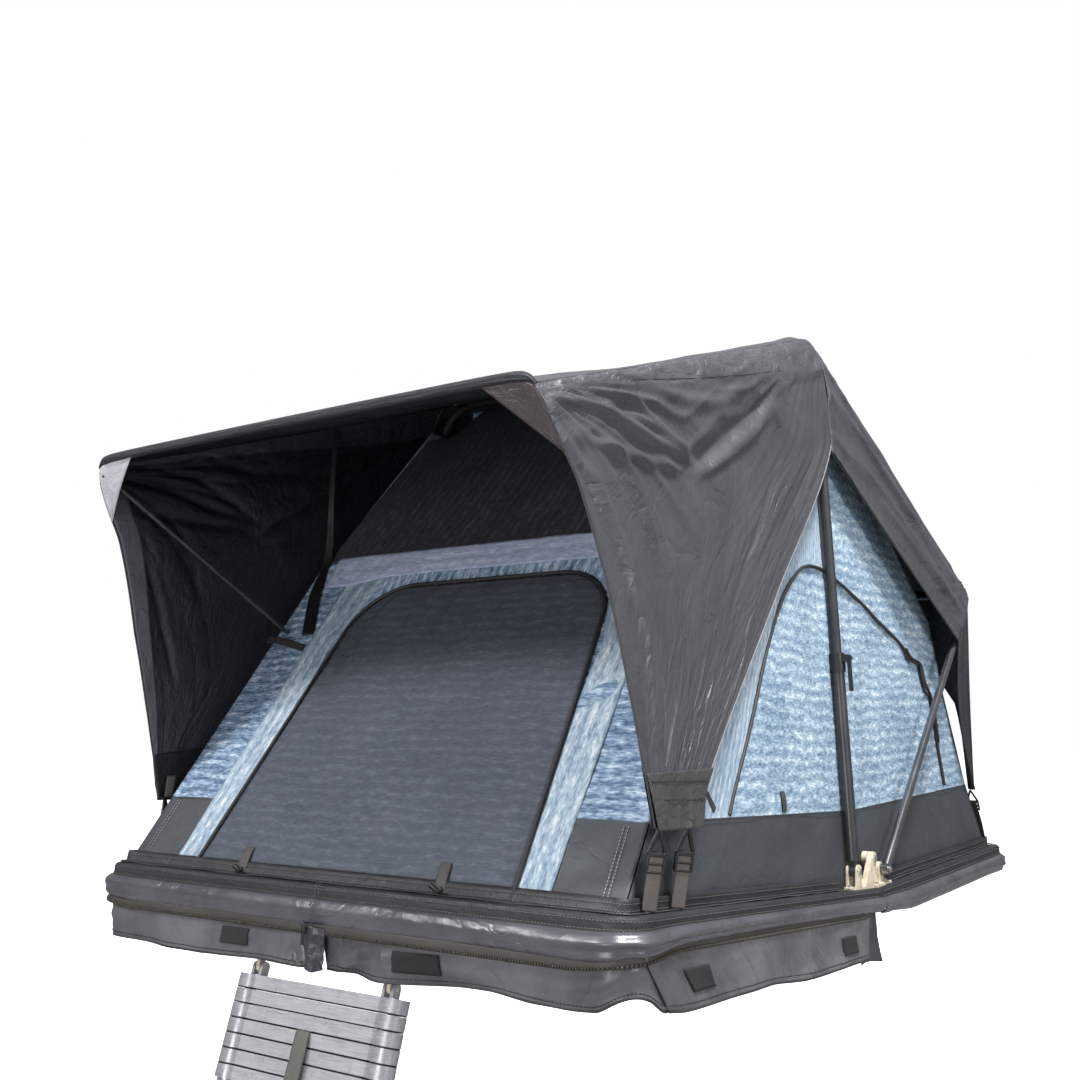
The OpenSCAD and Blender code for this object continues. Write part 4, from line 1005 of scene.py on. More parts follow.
def frontWallFolds(u, v):
    edge = ease(min(u, 1 - u, v) / 0.04)
    return edge * (3 * grain(u * 9, v * 7, 51) + 2.5 * crest(u * 7, v * 3, 53))


bm, spot = clothGrid(*wall["grid"], frontWallAt, wall["flat"], frontWallFolds)
gone = []
for face in bm.faces:
    u, v = middle(face, spot)
    s = wallRow(v)
    x = abs(u * 2 - 1) * (wall["x"] - wall["lean"] * wall["rise"] * s)
    if v < wall["bandShare"]:
        face.material_index = 1
    # faces above the door's arch take the lighter turned print, painted light
    elif s > door["arcFrom"] + door["arc"] - 60 and x < 470:
        face.material_index = 2
    if s < door["arcFrom"] + door["arc"] - 26 and x < doorHalf(s + 20) - 26:
        gone.append(face)
bmesh.ops.delete(bm, geom=gone, context="FACES")
# the front wall's print is the darker copy, painted shade
piece = addPiece("frontWall", bm, ["seaPaintedShade", "band", "seaTurnedPaintedLight"], "front_base", 1.5)
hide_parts("front_wall")


def doorAt(u, v):
    s = mix(door["foot"] - 22, door["arcFrom"] + door["arc"] - 2, v)
    return onWall((u * 2 - 1) * (doorHalf(max(s, door["foot"])) - 4), s, 4)


def doorFolds(u, v):
    edge = ease(min(u, 1 - u, 1 - v, v) / 0.05)
    d = 5 * crest(u * 7 + 0.6 * v, v * 1.1, 57) * ease((v - 0.25) / 0.5)
    d += 5 * grain(u * 5, v * 4, 59) + 3 * fan(u, v, 0.06, 0.98, 4, 0.35, 61)
    return edge * d


bm, spot = clothGrid(*door["grid"], doorAt, door["flat"], doorFolds)
piece = addPiece("door", bm, ["net"], "front_base", 1.2)
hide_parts("door")


def doorEdge(t):  # up the left side, over the arch and down the right
    low, high, out, grow = door["foot"] - 20, door["arcFrom"], door["zipOut"], door["zipGrow"]
    if t < 0.4:
        s = mix(low, high, t / 0.4)
        return onWall(-doorHalf(max(s, door["foot"])) - grow, s, out)
    if t > 0.6:
        s = mix(high, low, (t - 0.6) / 0.4)
        return onWall(doorHalf(max(s, door["foot"])) + grow, s, out)
    turn = (t - 0.4) / 0.2
    arcX, radius = door["upper"] - door["arc"], door["arc"] + grow
    if turn < 0.35:
        a = math.radians(90 * turn / 0.35)
        return onWall(-arcX - radius * math.cos(a), high + radius * math.sin(a), out)
    if turn > 0.65:
        a = math.radians(90 * (1 - turn) / 0.35)
        return onWall(arcX + radius * math.cos(a), high + radius * math.sin(a), out)
    return onWall(mix(-arcX, arcX, (turn - 0.35) / 0.3), high + door["arc"] + grow, out)


addMesh("doorZip", pipeMesh(sample(doorEdge, 160), 4.5), ["hem"], "front_base")
binding = {
    "inner": [(0, 457), (430, 424), (640, 428), (760, 400), (880, 372), (935, 350)],
    "outer": [(0, 536), (430, 526), (650, 522), (900, 515), (935, 512)],
    "height": 930,
}
for side, name in sides:
    def bindingAt(u, v):
        s = binding["height"] * v
        x = mix(lineAt(binding["outer"], s), lineAt(binding["inner"], s), u if side < 0 else 1 - u)
        return onWall(side * x, s, 3.2)

    bm, spot = clothGrid(12, 80, bindingAt, (0.09, 0.93), lambda u, v: 1.2 * grain(u * 2, v * 16, 63))
    piece = addPiece("binding" + name, bm, ["seaPale"], "front_base", 1.2)


def headerAt(u, v):
    x = mix(-590, 590, u)
    return onWall(x, mix(916 - 26 * ease((abs(x) - 330) / 200), 1000, v), 5 + 7 * v)


bm, spot = clothGrid(90, 10, headerAt, (1.15, 0.07), lambda u, v: 1.5 * grain(u * 16, v * 2, 67))
piece = addPiece("header", bm, ["haze"], "front_base", 1.2)

roofIn = {"grid": (110, 60), "flat": (1.3, 0.85), "top": toFront(ridge["y"] - 2, ridge["z"] - 28)}


def roofInAt(u, v):
    c, n = math.cos(wall["slope"]), math.sin(wall["slope"])
    y0, z0 = wall["foot"] + 985 * c, 2 + 985 * n
    y, z = mix(y0, roofIn["top"][0] - 6, v), mix(z0 + 4, roofIn["top"][1], v)
    t = u * 2 - 1
    wide = wall["x"] - 4 - wall["lean"] * z
    corner = ease((abs(t) - 0.74) / 0.2) * ease((v - 0.8) / 0.2)  # passes under the bow's bend
    return onFront(t * wide, y - 30 * corner, z - 26 * math.sin(math.pi * v) * (1 - t * t) - 110 * corner)


bm, spot = clothGrid(*roofIn["grid"], roofInAt, roofIn["flat"],
                     lambda u, v: 5 * crest(u * 12, v * 0.8, 71) * ease(min(u, 1 - u) / 0.05))
piece = addPiece("roofFront", bm, ["inner"], "front_base", 1.4)
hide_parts("roof_front")

sideFront = {
    "grid": (70, 90),
    "flat": (1.2, 1.35),
    "cut": 1352,
    "tuck": 0,
    "front": [(0, -1207), (826, -677), (1352, -262)],
    "rear": [(0, -10), (1352, -172)],
    "band": [(-1207, 166), (-873, 177), (-129, 201), (-10, 205)],
}
sideRear = {
    "grid": (72, 90),
    "flat": (1.2, 1.36),
    "cut": 1358,
    "tuck": 6,  # its front edge ends inside the front half's wall
    "front": [(0, -34), (1358, -86)],
    "rear": [(0, 1175), (219, 1015), (540, 861), (740, 791), (1358, 27)],
    "band": [(0, 208), (1024, 219)],
}
sideBand = {"share": 0.17, "height": 200}
halves = (("front", onFront, sideFront), ("rear", onRear, sideRear))


def bandEnds(s):
    return lineAt(s["rear"], sideBand["height"]), lineAt(s["front"], sideBand["height"])


def sideAt(s, side, place):
    def spotOn(u, v):
        share = sideBand["share"]
        band = lineAt(s["band"], mix(*bandEnds(s), u))
        z = mix(2, band, v / share) if v < share else mix(band, s["cut"], (v - share) / (1 - share))
        y = mix(lineAt(s["rear"], z), lineAt(s["front"], z), u)
        tuck = s["tuck"] * ease((u - 0.955) / 0.02)
        return place(side * (wall["x"] - wall["lean"] * z - tuck), y, z)
    return spotOn


windowZip = {
    "front": [(-759, 242), (-709, 312), (-611, 439), (-500, 600), (-389, 726), (-281, 802), (-212, 826),
              (-140, 829), (-78, 822)],
    "rear": [(-76, 822), (63, 787), (200, 748), (285, 718), (447, 668), (510, 640), (540, 612), (646, 597),
             (668, 560), (668, 521), (725, 495), (738, 440), (743, 366), (778, 225)],
}


def outsideWindow(p):  # ahead of the zip's line on the front half
    y, z = p.y * 1000 + hinge["y"], p.z * 1000 - hinge["deck"]
    return z > 829 or y < lineAt([(b, a) for a, b in windowZip["front"][:7]], z)


for side, name in sides:
    for half, place, s in halves:
        def folds(u, v):
            edge = ease(min(u, 1 - u, v, 1 - v) / 0.05)
            seed = 73 + side + (5 if half == "rear" else 0)
            d = 3 * grain(u * 7, v * 7, seed) + 2.5 * crest(u * 5 + v * 2, v * 3, seed + 9)
            if half == "rear":
                d += 3 * crest(u * 7, v * 2.5, seed + 13) * (1 - ease((v - 0.12) / 0.1))
            return edge * d

        bm, spot = clothGrid(*s["grid"], sideAt(s, side, place), s["flat"], folds, flip=side > 0)
        for face in bm.faces:
            if middle(face, spot)[1] < sideBand["share"]:
                face.material_index = 1
            elif half == "front" and outsideWindow(face.calc_center_median()):
                face.material_index = 2
        looks = ["sea", "band", "seaPale"]
        piece = addPiece("side" + half.title() + name, bm, looks, half + "_base", 1.5)
        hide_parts("side_" + half + "_" + name.lower())


def sidePoint(y, z, out, side):
    return onRear(side * (wall["x"] - wall["lean"] * z + out), y, z)


for side, name in sides:
    for half, line in windowZip.items():
        marks = [(i / (len(line) - 1), (y, z, 0)) for i, (y, z) in enumerate(line)]
        points = [sidePoint(p.x, p.y, 5, side) for p in sample(lambda t: along(marks, t), 110)]
        zipLine = pipeMesh(points, 4.5)
        addMesh("windowZip" + half.title() + name, zipLine, ["hem"], half + "_base")

rearWall = {
    "grid": (110, 100),
    "flat": (1.4, 1.7),
    "line": [(0.0, (1184, 2)), (0.16, (1024, 219)), (0.38, (870, 540)), (0.5, (800, 740)), (0.95, (4, 1377)),
             (1.0, (-70, 1437))],
}


def rearWallAt(u, v):
    y, z = pairAt(rearWall["line"], v)
    wide = mix(wall["x"] - 1 - wall["lean"] * z, 534, ease((v - 0.95) / 0.05))
    return onRear((u * 2 - 1) * wide, y, z)


def rearWallFolds(u, v):
    return ease(min(u, 1 - u, v, 1 - v) / 0.05) * (4 * grain(u * 7, v * 8, 83) + 3 * crest(u * 6, v * 4, 85))


bm, spot = clothGrid(*rearWall["grid"], rearWallAt, rearWall["flat"], rearWallFolds, flip=True)
for face in bm.faces:
    if middle(face, spot)[1] < 0.155:
        face.material_index = 1
piece = addPiece("rearWall", bm, ["sea", "band"], "rear_base", 1.5)
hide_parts("rear_wall")

print("stage: edge strips and travel cover")
strip = {
    "x": 735,
    "length": 1240,
    "corner": 60,
    "start": 4,
    "grid": (640, 40),
    "flat": (3.87, 0.18),
    "run": 3.89,
    "corners": (0.3145, 0.6855),
    "roll": 0.44,
    "meet": {"front": 4, "rear": 5},
    "slant": 0.0785,
    "line": [(0.0, (-18, 5, 0)), (0.12, (-4, 7, 0)), (0.22, (8, 3, 0)), (0.32, (11, -10, 0)),
             (0.41, (11, -21, 0)), (0.45, (15, -23, 0)), (0.52, (22, -29, 0)), (0.6, (26, -40, 0)),
             (0.7, (26, -53, 0)), (0.8, (21, -65, 0)), (0.9, (12, -74, 0)), (1.0, (4, -70, 0))],
}


def rim(t, out, edge=strip):  # round three sides of a half, t from the left hinge end
    x, c = edge["x"], edge["corner"]
    straight, bend, end = edge["length"] - c - edge["start"], math.pi * c / 2, 2 * (x - c)
    d = t * (2 * straight + 2 * bend + end)
    if d < straight:
        return -x - out, edge["start"] + d
    d -= straight
    if d < bend:
        a = d / c
        return -x + c - (c + out) * math.cos(a), edge["length"] - c + (c + out) * math.sin(a)
    d -= bend
    if d < end:
        return -x + c + d, edge["length"] + out
    d -= end
    if d < bend:
        a = d / c
        return x - c + (c + out) * math.sin(a), edge["length"] - c + (c + out) * math.cos(a)
    return x + out, edge["length"] - c - (d - bend)


def dropAt(t, z):  # the front half's cover sits higher along its sides
    onSide = 1 - ease((min(t, 1 - t) - 0.275) / 0.07)
    return z * (1 - 0.35 * onSide) if z < 0 else z


def stripAt(half, out=0.0):
    def place(u, v):
        p = along(strip["line"], v)
        x, y = rim(u, p.x + out)
        end, meet = min(u, 1 - u), strip["meet"][half]
        z = dropAt(u, p.y) if half == "front" else p.y * (1 - 0.25 * (1 - ease(end / 0.07)))
        if half == "front":
            meet += strip["slant"] * (hinge["pin"] - z)
        y -= meet * (1 - ease(end / 0.02))  # the ends meet below the hinge
        return onFront(x, -y, z) if half == "front" else onRear(x, y, z)
    return place


def stripFolds(half):
    seed, run = 91 if half == "front" else 95, strip["run"]

    def folds(u, v):
        length = u * run
        roll = clamp((v - strip["roll"]) / (1 - strip["roll"]))
        loose = math.sin(math.pi * roll)
        d = loose * (4 * grain(length * 1.6, v * 3, seed) + 3 * crest(length * 0.8, v * 4, seed + 1))
        groove = 0.5 + 0.12 * grain(length * 1.3, 0, seed + 3)
        d -= 3 * math.exp(-(((roll - groove) / 0.1) ** 2)) * loose  # the slack lies in two rolls
        for corner in strip["corners"]:
            near = math.exp(-(((length - corner * run) / 0.14) ** 2))
            d += 7 * crest(length * 2.6, v * 6, seed + 4) * near * loose
            d -= 5 * math.exp(-(((length - corner * run) / 0.014) ** 2)) * loose
        ends = math.exp(-((min(u, 1 - u) * run / 0.05) ** 2))
        d += 5 * crest(length * 7, v * 3, seed + 6) * ends * loose
        return d * ease(min(u, 1 - u) / 0.01 + 0.1)
    return folds


for half in ("front", "rear"):
    body = half + "_base"
    bm, spot = clothGrid(*strip["grid"], stripAt(half), strip["flat"], stripFolds(half), flip=half == "front")
    for face in bm.faces:
        if middle(face, spot)[1] < strip["roll"]:
            face.material_index = 1
    piece = addPiece("strip" + half.title(), bm, ["pvc", "tape"], body, 3.0, -1.0, soft=False)
    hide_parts(half + "_strip")
    for k, v in enumerate((0.27, 0.39)):
        row = sample(lambda t: stripAt(half, 1.2)(t, v), 400, 0.005, 0.995)
        stitchRow(f"stripStitch{half.title()}{k}", row, body, "threadMid", soft=False)

zipper = {
    "run": 3750,
    "span": (0.03, 0.97),
    "pitch": 6.0,
    "drop": -89.0,
    "out": 19.0,
    "tooth": (0.0034, 0.006, 0.0055, 1),
}


def zipTeeth(z):
    bm = bmesh.new()
    shape = Matrix.Diagonal(z["tooth"])
    start, stop = z["span"]
    count = int((stop - start) * z["run"] / z["pitch"])
    for i in range(count):
        t = mix(start, stop, i / count)
        x, y = rim(t, z["out"])
        x2, y2 = rim(t + 0.0005, z["out"])
        turn = Matrix.Rotation(math.atan2(-(y2 - y), x2 - x), 4, "Z")
        place = Matrix.Translation(onFront(x, -y, dropAt(t, z["drop"]))) @ turn
        bmesh.ops.create_cube(bm, size=1.0, matrix=place @ shape)
    return bm


addPiece("coverZip", zipTeeth(zipper), ["zip"], "front_base", soft=False)


def zipTapeAt(u, v):
    t = mix(0.02, 0.98, u)
    x, y = rim(t, 17 + 2 * math.sin(math.pi * v))
    return onFront(x, -y, dropAt(t, mix(-68, -92, v)))


bm, spot = clothGrid(420, 4, zipTapeAt, (3.7, 0.02), flip=True)
piece = addPiece("coverZipTape", bm, ["coverTape"], "front_base", 1.2, -1.0, soft=False)

footTape = {
    "front": {"x": 700, "length": 1212, "corner": 12, "start": 160, "lean": 0.642},
    "rear": {"x": 700, "length": 1184, "corner": 12, "start": 132, "lean": 0.737},
    "line": [(0.0, (12, 34)), (0.5, (11, 6)), (0.65, (14, 5)), (1.0, (27, 9))],
}


def tapeAt(half, lift=0.0):  # a sewn ledge where the walls meet the strip
    edge = footTape[half]
    side = edge["length"] - edge["corner"] - edge["start"]
    total = 2 * side + 2 * (edge["x"] - edge["corner"]) + math.pi * edge["corner"]

    def place(u, v):
        out, z = pairAt(footTape["line"], v)
        across = ease((min(u, 1 - u) * total - side) / 30)
        lean = mix(wall["lean"], edge["lean"], across)
        puff = 2.5 * grain(u * total / 70, v * 2, 111) * v
        x, y = rim(u, out - lean * z + lift, edge)
        return onFront(x, -y, z + puff + lift) if half == "front" else onRear(x, y, z + puff + lift)
    return place


for half in ("front", "rear"):
    body = half + "_base"
    bm, spot = clothGrid(420, 8, tapeAt(half), (3.4, 0.055), flip=half == "front")
    piece = addPiece("footTape" + half.title(), bm, ["tape"], body, 1.6, 0.0, soft=False)
    for k, v in enumerate((0.2, 0.42, 0.9)):
        row = sample(lambda t: tapeAt(half, 1.6)(t, v), 400, 0.01, 0.99)
        stitchRow(f"footStitch{half.title()}{k}", row, body, "threadMid", soft=False)

skirt = {"grid": (150, 24), "flat": (0.75, 0.09), "top": -76, "foot": -160, "bendFrom": 675}


def skirtFrontAt(x0, x1):
    def place(u, v):
        t = mix(x0, x1, u)
        wave = 5 * math.sin(math.radians(1260 * t / 742)) + 7 * grain(t / 160, v, 103)
        lean = mix(4, 36, ease((t + 80) / 160)) * (1 - ease((t - 640) / 100))  # further in on the right
        hooks = lean - (lean - 2) * math.exp(-(((abs(t) - 187) / 75) ** 2))  # held out over the ladder hooks
        drawn = 36 * math.exp(-(((t - 742) / 50) ** 2))  # drawn up where it turns the right corner
        top = skirt["top"] + 20 * ease((abs(t) - 640) / 130)
        z = mix(top, skirt["foot"] + drawn, v) - 4 * v * math.sin(t / 95)
        bend = min(max(0.0, abs(t) - skirt["bendFrom"]) / 60, math.pi / 2)  # both ends follow the corners
        past = max(0.0, abs(t) - skirt["bendFrom"] - 30 * math.pi)
        reach = 74 - 5 * ease(bend) - (hooks + wave + 14 * ease((-t - 640) / 90)) * v
        x = min(abs(t), skirt["bendFrom"]) * (1 - 0.012 * v) + reach * math.sin(bend)
        return onFront(math.copysign(x, t), -1180 - reach * math.cos(bend) + past, z)
    return place


def skirtFolds(seed):
    def folds(u, v):
        d = 9 * crest(u * 3 + v * 0.8, v * 0.9, seed) + 10 * grain(u * 5, v * 1.5, seed + 1)
        return d * v * ease(u / 0.04) * ease((1 - u) / 0.04)
    return folds


def onCloth(place, folds, a, b, off):  # a point just off the folded cloth, on its outer face
    p, q, r = place(a, b), place(a + 0.004, b), place(a, b - 0.02)
    normal = (q - p).cross(r - p).normalized()
    if normal.dot(p - onFront(0, -600, -100)) < 0:
        normal.negate()
    return p + normal * (folds(a, b) + off) / 1000


def sewEdge(name, place, folds, hemSteps, stitchSteps):  # a bound hem with stitches above it
    hem = sample(lambda t: onCloth(place, folds, t, 1, -0.8), hemSteps, 0, 0.995)
    addMesh(name + "Hem", pipeMesh(hem, 2.6), ["hem"], "front_base", soft=False)
    upper = sample(lambda t: onCloth(place, folds, t, 0.9, 0.6), stitchSteps, 0.01, 0.985)
    stitchRow(name + "Stitch", upper, "front_base", "threadDark", 5, 1.6, 3, soft=False)


skirtPieces = {"skirtFrontLeft": (-872, -24), "skirtFrontRight": (10, 872)}
for name, (x0, x1) in skirtPieces.items():
    placed, folded = skirtFrontAt(x0, x1), skirtFolds(105)
    bm, spot = clothGrid(*skirt["grid"], placed, skirt["flat"], folded, flip=True)
    piece = addPiece(name, bm, ["skirt"], "front_base", 1.6, -1.0, soft=False)
    if x0 < 0:
        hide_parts("skirt_front")
    sewEdge(name, placed, folded, 120, 240)


def skirtSideAt(side):
    def place(u, v):  # u from the front corner back to the hinge
        y = mix(-1224 + 100 * v, -88, u)
        wave = 5 * v * math.sin(math.radians(1300 * u)) + 6 * v * grain(u * 8, v, 107 + side)
        z = mix(dropAt(0, skirt["top"]), skirt["foot"], v) - 3 * v * math.sin(u * 12)
        return onFront(side * (750 + 2 * v + wave), y, z)
    return place


endFlap = {"from": -128, "top": (-40, -50), "foot": (22, -172)}


def endFlapFolds(u, v):
    return 4 * crest(u * 3, v * 2, 113) * v * (1 - v)


for side, name in sides:
    placed, folded = skirtSideAt(side), skirtFolds(109)
    bm, spot = clothGrid(200, 24, placed, (1.1, 0.11), folded, flip=side > 0)
    piece = addPiece("skirtSide" + name, bm, ["skirt"], "front_base", 1.6, -1.0, soft=False)
    if side > 0:
        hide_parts("skirt_sides")
    sewEdge("skirtSide" + name, placed, folded, 160, 300)

    def endFlapAt(u, v):  # the loose corner of the cover beside the hinge
        y = mix(endFlap["from"], mix(endFlap["top"][0], endFlap["foot"][0], v), u)
        out = 738 + 8 * u * (1 - v) + 5 * math.sin(4 * u + 3 * v) * v
        return onFront(side * out, y, mix(endFlap["top"][1], endFlap["foot"][1] + 3 * math.sin(4 * u), v))

    bm, spot = clothGrid(28, 22, endFlapAt, (0.11, 0.12), endFlapFolds, flip=side < 0)
    piece = addPiece("coverCorner" + name, bm, ["pvcDark"], "front_base", 1.6, -1.0, soft=False)


def coverPatch(name, place, folds, centre, size):  # a fastener patch sewn on the cover
    (cu, cv), (su, sv) = centre, size

    def spotOn(u, v):
        return onCloth(place, folds, cu + (u - 0.5) * su, cv + (v - 0.5) * sv, 2.4)

    bm, spot = clothGrid(14, 8, spotOn, (0.1, 0.05))
    bmesh.ops.recalc_face_normals(bm, faces=bm.faces)
    return addPiece(name, bm, ["hookTape"], "front_base", 1.6, 0.0, soft=False)


splitFlap = {"left": -44, "right": 25, "top": -70, "foot": -166}


def splitFlapAt(u, v):  # the folded end of the zip, where the front cover parts
    x = mix(splitFlap["left"] + 12 * v, splitFlap["right"] - 6 * v, u)
    y = -1264 - 6 * math.sin(math.pi * u) + 8 * v + 5 * math.sin(7 * u + 2 * v)
    return onFront(x, y, mix(splitFlap["top"] - 8 * u, splitFlap["foot"] + 14 * abs(u - 0.6), v))


bm, spot = clothGrid(26, 34, splitFlapAt, (0.07, 0.1), lambda u, v: 3 * crest(u * 3, v * 2.5, 115), flip=True)
piece = addPiece("zipEndFlap", bm, ["pvcDark"], "front_base", 2.0, -1.0, soft=False)
bm = bmesh.new()
blockMesh(bm, Matrix.Translation(onFront(-20, -1276, -84)), (11, 7, 15), 2.0)
blockMesh(bm, Matrix.Translation(onFront(-20, -1279, -101)), (6, 3, 24), 1.2)
addPiece("zipSlider", bm, ["blackPlastic"], "front_base", soft=False)
line = sample(lambda t: stripAt("front")(0.4975, t) + onFront(0, -6, 5) - onFront(0, 0, 0), 30, 0.12, 0.86)
for k, shift in enumerate((-5, 5)):
    row = [q + Vector((shift / 1000, 0, 0)) for q in line]
    stitchRow(f"stripSeam{k}", row, "front_base", "threadMid", soft=False)

coverPatch("coverPatchA", skirtFrontAt(-766, -24), skirtFolds(105), (0.70, 0.50), (0.115, 0.42))
coverPatch("coverPatchB", skirtFrontAt(10, 872), skirtFolds(105), (0.293, 0.52), (0.127, 0.46))
for side, name in sides:
    coverPatch("coverPatchC" + name, skirtSideAt(side), skirtFolds(109), (0.145, 0.56), (0.10, 0.38))
    coverPatch("coverPatchD" + name, skirtSideAt(side), skirtFolds(109), (0.86, 0.60), (0.085, 0.36))

print("stage: straps, mattresses and ties")
webbing = {"thick": 1.8, "lean": math.radians(8), "turn": math.radians(-30)}


def strapPiece(name, points, across, wide, body, look="webbing", soft=True, *, rests):
    marks = [(i / (len(points) - 1), q) for i, q in enumerate(points)]
    across = Vector(across).normalized()
    length = sum((b - a).length for a, b in zip(points, points[1:]))

    def place(u, v):
        return along(marks, v) + across * ((u - 0.5) * wide / 1000)

    bm, spot = clothGrid(6, 10 * (len(points) - 1), place, (wide / 1000, length))
    ob = addPiece(name, bm, [look], body, webbing["thick"], 0.0, soft)
    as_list(rests)
    return ob


def ringPoints(corners, matrix):
    points, steps = [], 6
    for (ax, az), (bx, bz) in zip(corners, corners[1:] + corners[:1]):
        for i in range(steps):
            t = i / steps
            points.append(matrix @ Vector((0, mix(ax, bx, t) / 1000, mix(az, bz, t) / 1000)))
    return points + points[:1]


def ladderLock(bm, turn, wide, high):  # a sliding buckle of two rails and three bars
    for x in (-wide / 2, wide / 2):
        blockMesh(bm, turn @ Matrix.Translation((0, x / 1000, 0)), (8, 5, high), 1.6)
    for z in (-high / 2, 0, high / 2):
        blockMesh(bm, turn @ Matrix.Translation((0.001, 0, z / 1000)), (6, wide + 4, 5), 1.4)


for side, name in sides:
    for k, y in enumerate((-1158, -1050) if side > 0 else (-1088, -1024)):
        top = Matrix.Translation(onFront(side * 744, y, 156)) @ Matrix.Rotation(-tilt, 4, "X")
        turn = top @ Matrix.Rotation(side * webbing["lean"], 4, "Y")
        turn = turn @ Matrix.Rotation(side * webbing["turn"], 4, "Z")
        wing, first = ["flyWing" + name], side < 0 and k == 0
        line = [turn @ Vector((side * 0.001, 0, z / 1000)) for z in (-46, -70, -95, -120, -146)]
        across = turn @ Vector((0, 1, 0)) - turn @ Vector((0, 0, 0))
        piece = strapPiece(f"baseStrap{name}{k}", line, across, 30, "front_base", "strapWeb", rests=wing)
        if first:
            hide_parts("straps_front")
        bm = bmesh.new()
        ladderLock(bm, turn @ Matrix.Translation((0, 0, -0.062)), 36, 30)
        piece = addPiece(f"baseBuckle{name}{k}", bm, ["blackPlastic"], "front_base")
        if first:
            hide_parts("buckles_front")
        ring = ringPoints([(-19, -44), (19, -44), (0, 4)], turn)
        addMesh(f"strapRing{name}{k}", pipeMesh(ring, 4.4), ["blackPlastic"], "front_base")
        loop = [turn @ Vector((side * 0.003, 0, z / 1000)) for z in (22, 12, 0)]
        strapPiece(f"tabLoop{name}{k}", loop, across, 22, "front_base", rests=wing)
        sewn = [onFront(side * (731 - 0.06 * (z - 160)), y, z) for z in (216, 190, 164)]
        strapPiece(f"tabWeb{name}{k}", sewn, (0, 1, 0), 26, "front_base", "strapWeb", rests=wing)

for side, name in sides:
    turn = Matrix.Translation(onRear(side * 690, 1078, 190)) @ Matrix.Rotation(math.radians(33), 4, "X")
    line = [turn @ Vector((0, 0.004 * math.sin(z / 30), z / 1000)) for z in (-40, -80, -120, -160, -208)]
    piece = strapPiece("tailTie" + name, line, (1, 0, 0), 25, "rear_base", rests=["flyTail"])
    if side < 0:
        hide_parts("rear_ties")
    bm = bmesh.new()
    flat = turn @ Matrix.Rotation(math.radians(90), 4, "Z")
    ladderLock(bm, flat @ Matrix.Translation((0, 0, -0.060)), 32, 30)
    addPiece("tailBuckle" + name, bm, ["blackPlastic"], "rear_base")
    ring = ringPoints([(-17, -42), (17, -42), (0, 4)], flat)
    addMesh("tailRing" + name, pipeMesh(ring, 3.4), ["blackPlastic"], "rear_base")

tab = {"span": (0.943, 1.004), "rows": (0.955, 0.974), "lining": (0.93, 0.998)}
for side, name in sides:
    def tabAt(u, v):  # a second layer sewn over the foot of the wing
        return onWing(side, u, mix(*tab["span"], v), 4 + 3 * v * math.sin(9 * u))

    def tabFolds(u, v):
        return 4 * crest(u * 4, v * 1.5, 121 + side) * v

    def tabLiningAt(u, v):
        return onWing(side, u, mix(*tab["lining"], v), -5)

    bm, spot = clothGrid(60, 22, tabAt, (0.2, 0.1), tabFolds, flip=side < 0)
    piece = addPiece("wingTab" + name, bm, ["tab"], "front_base", 1.4, 0.0)
    bm, spot = clothGrid(40, 12, tabLiningAt, (0.2, 0.1), flip=side > 0)
    piece = addPiece("tabLining" + name, bm, ["flyShade"], "front_base", 1.2, 0.0)
    for k, a in enumerate(tab["rows"]):
        row = sample(lambda t: onWing(side, t, a, 7), 30, 0.03, 0.97)
        stitchRow(f"tabStitch{name}{k}", row, "front_base", "threadDark", 5, 1.8, 2.5)
    path = [(0.755, 0.431), (0.55, 0.452), (0.38, 0.461), (0.22, 0.466)]
    row = [onWing(side, u, a, 9) for u, a in path]
    stitchRow("wingSeam" + name, row, "front_base", "threadDark", 6, 1.6, 2.5)

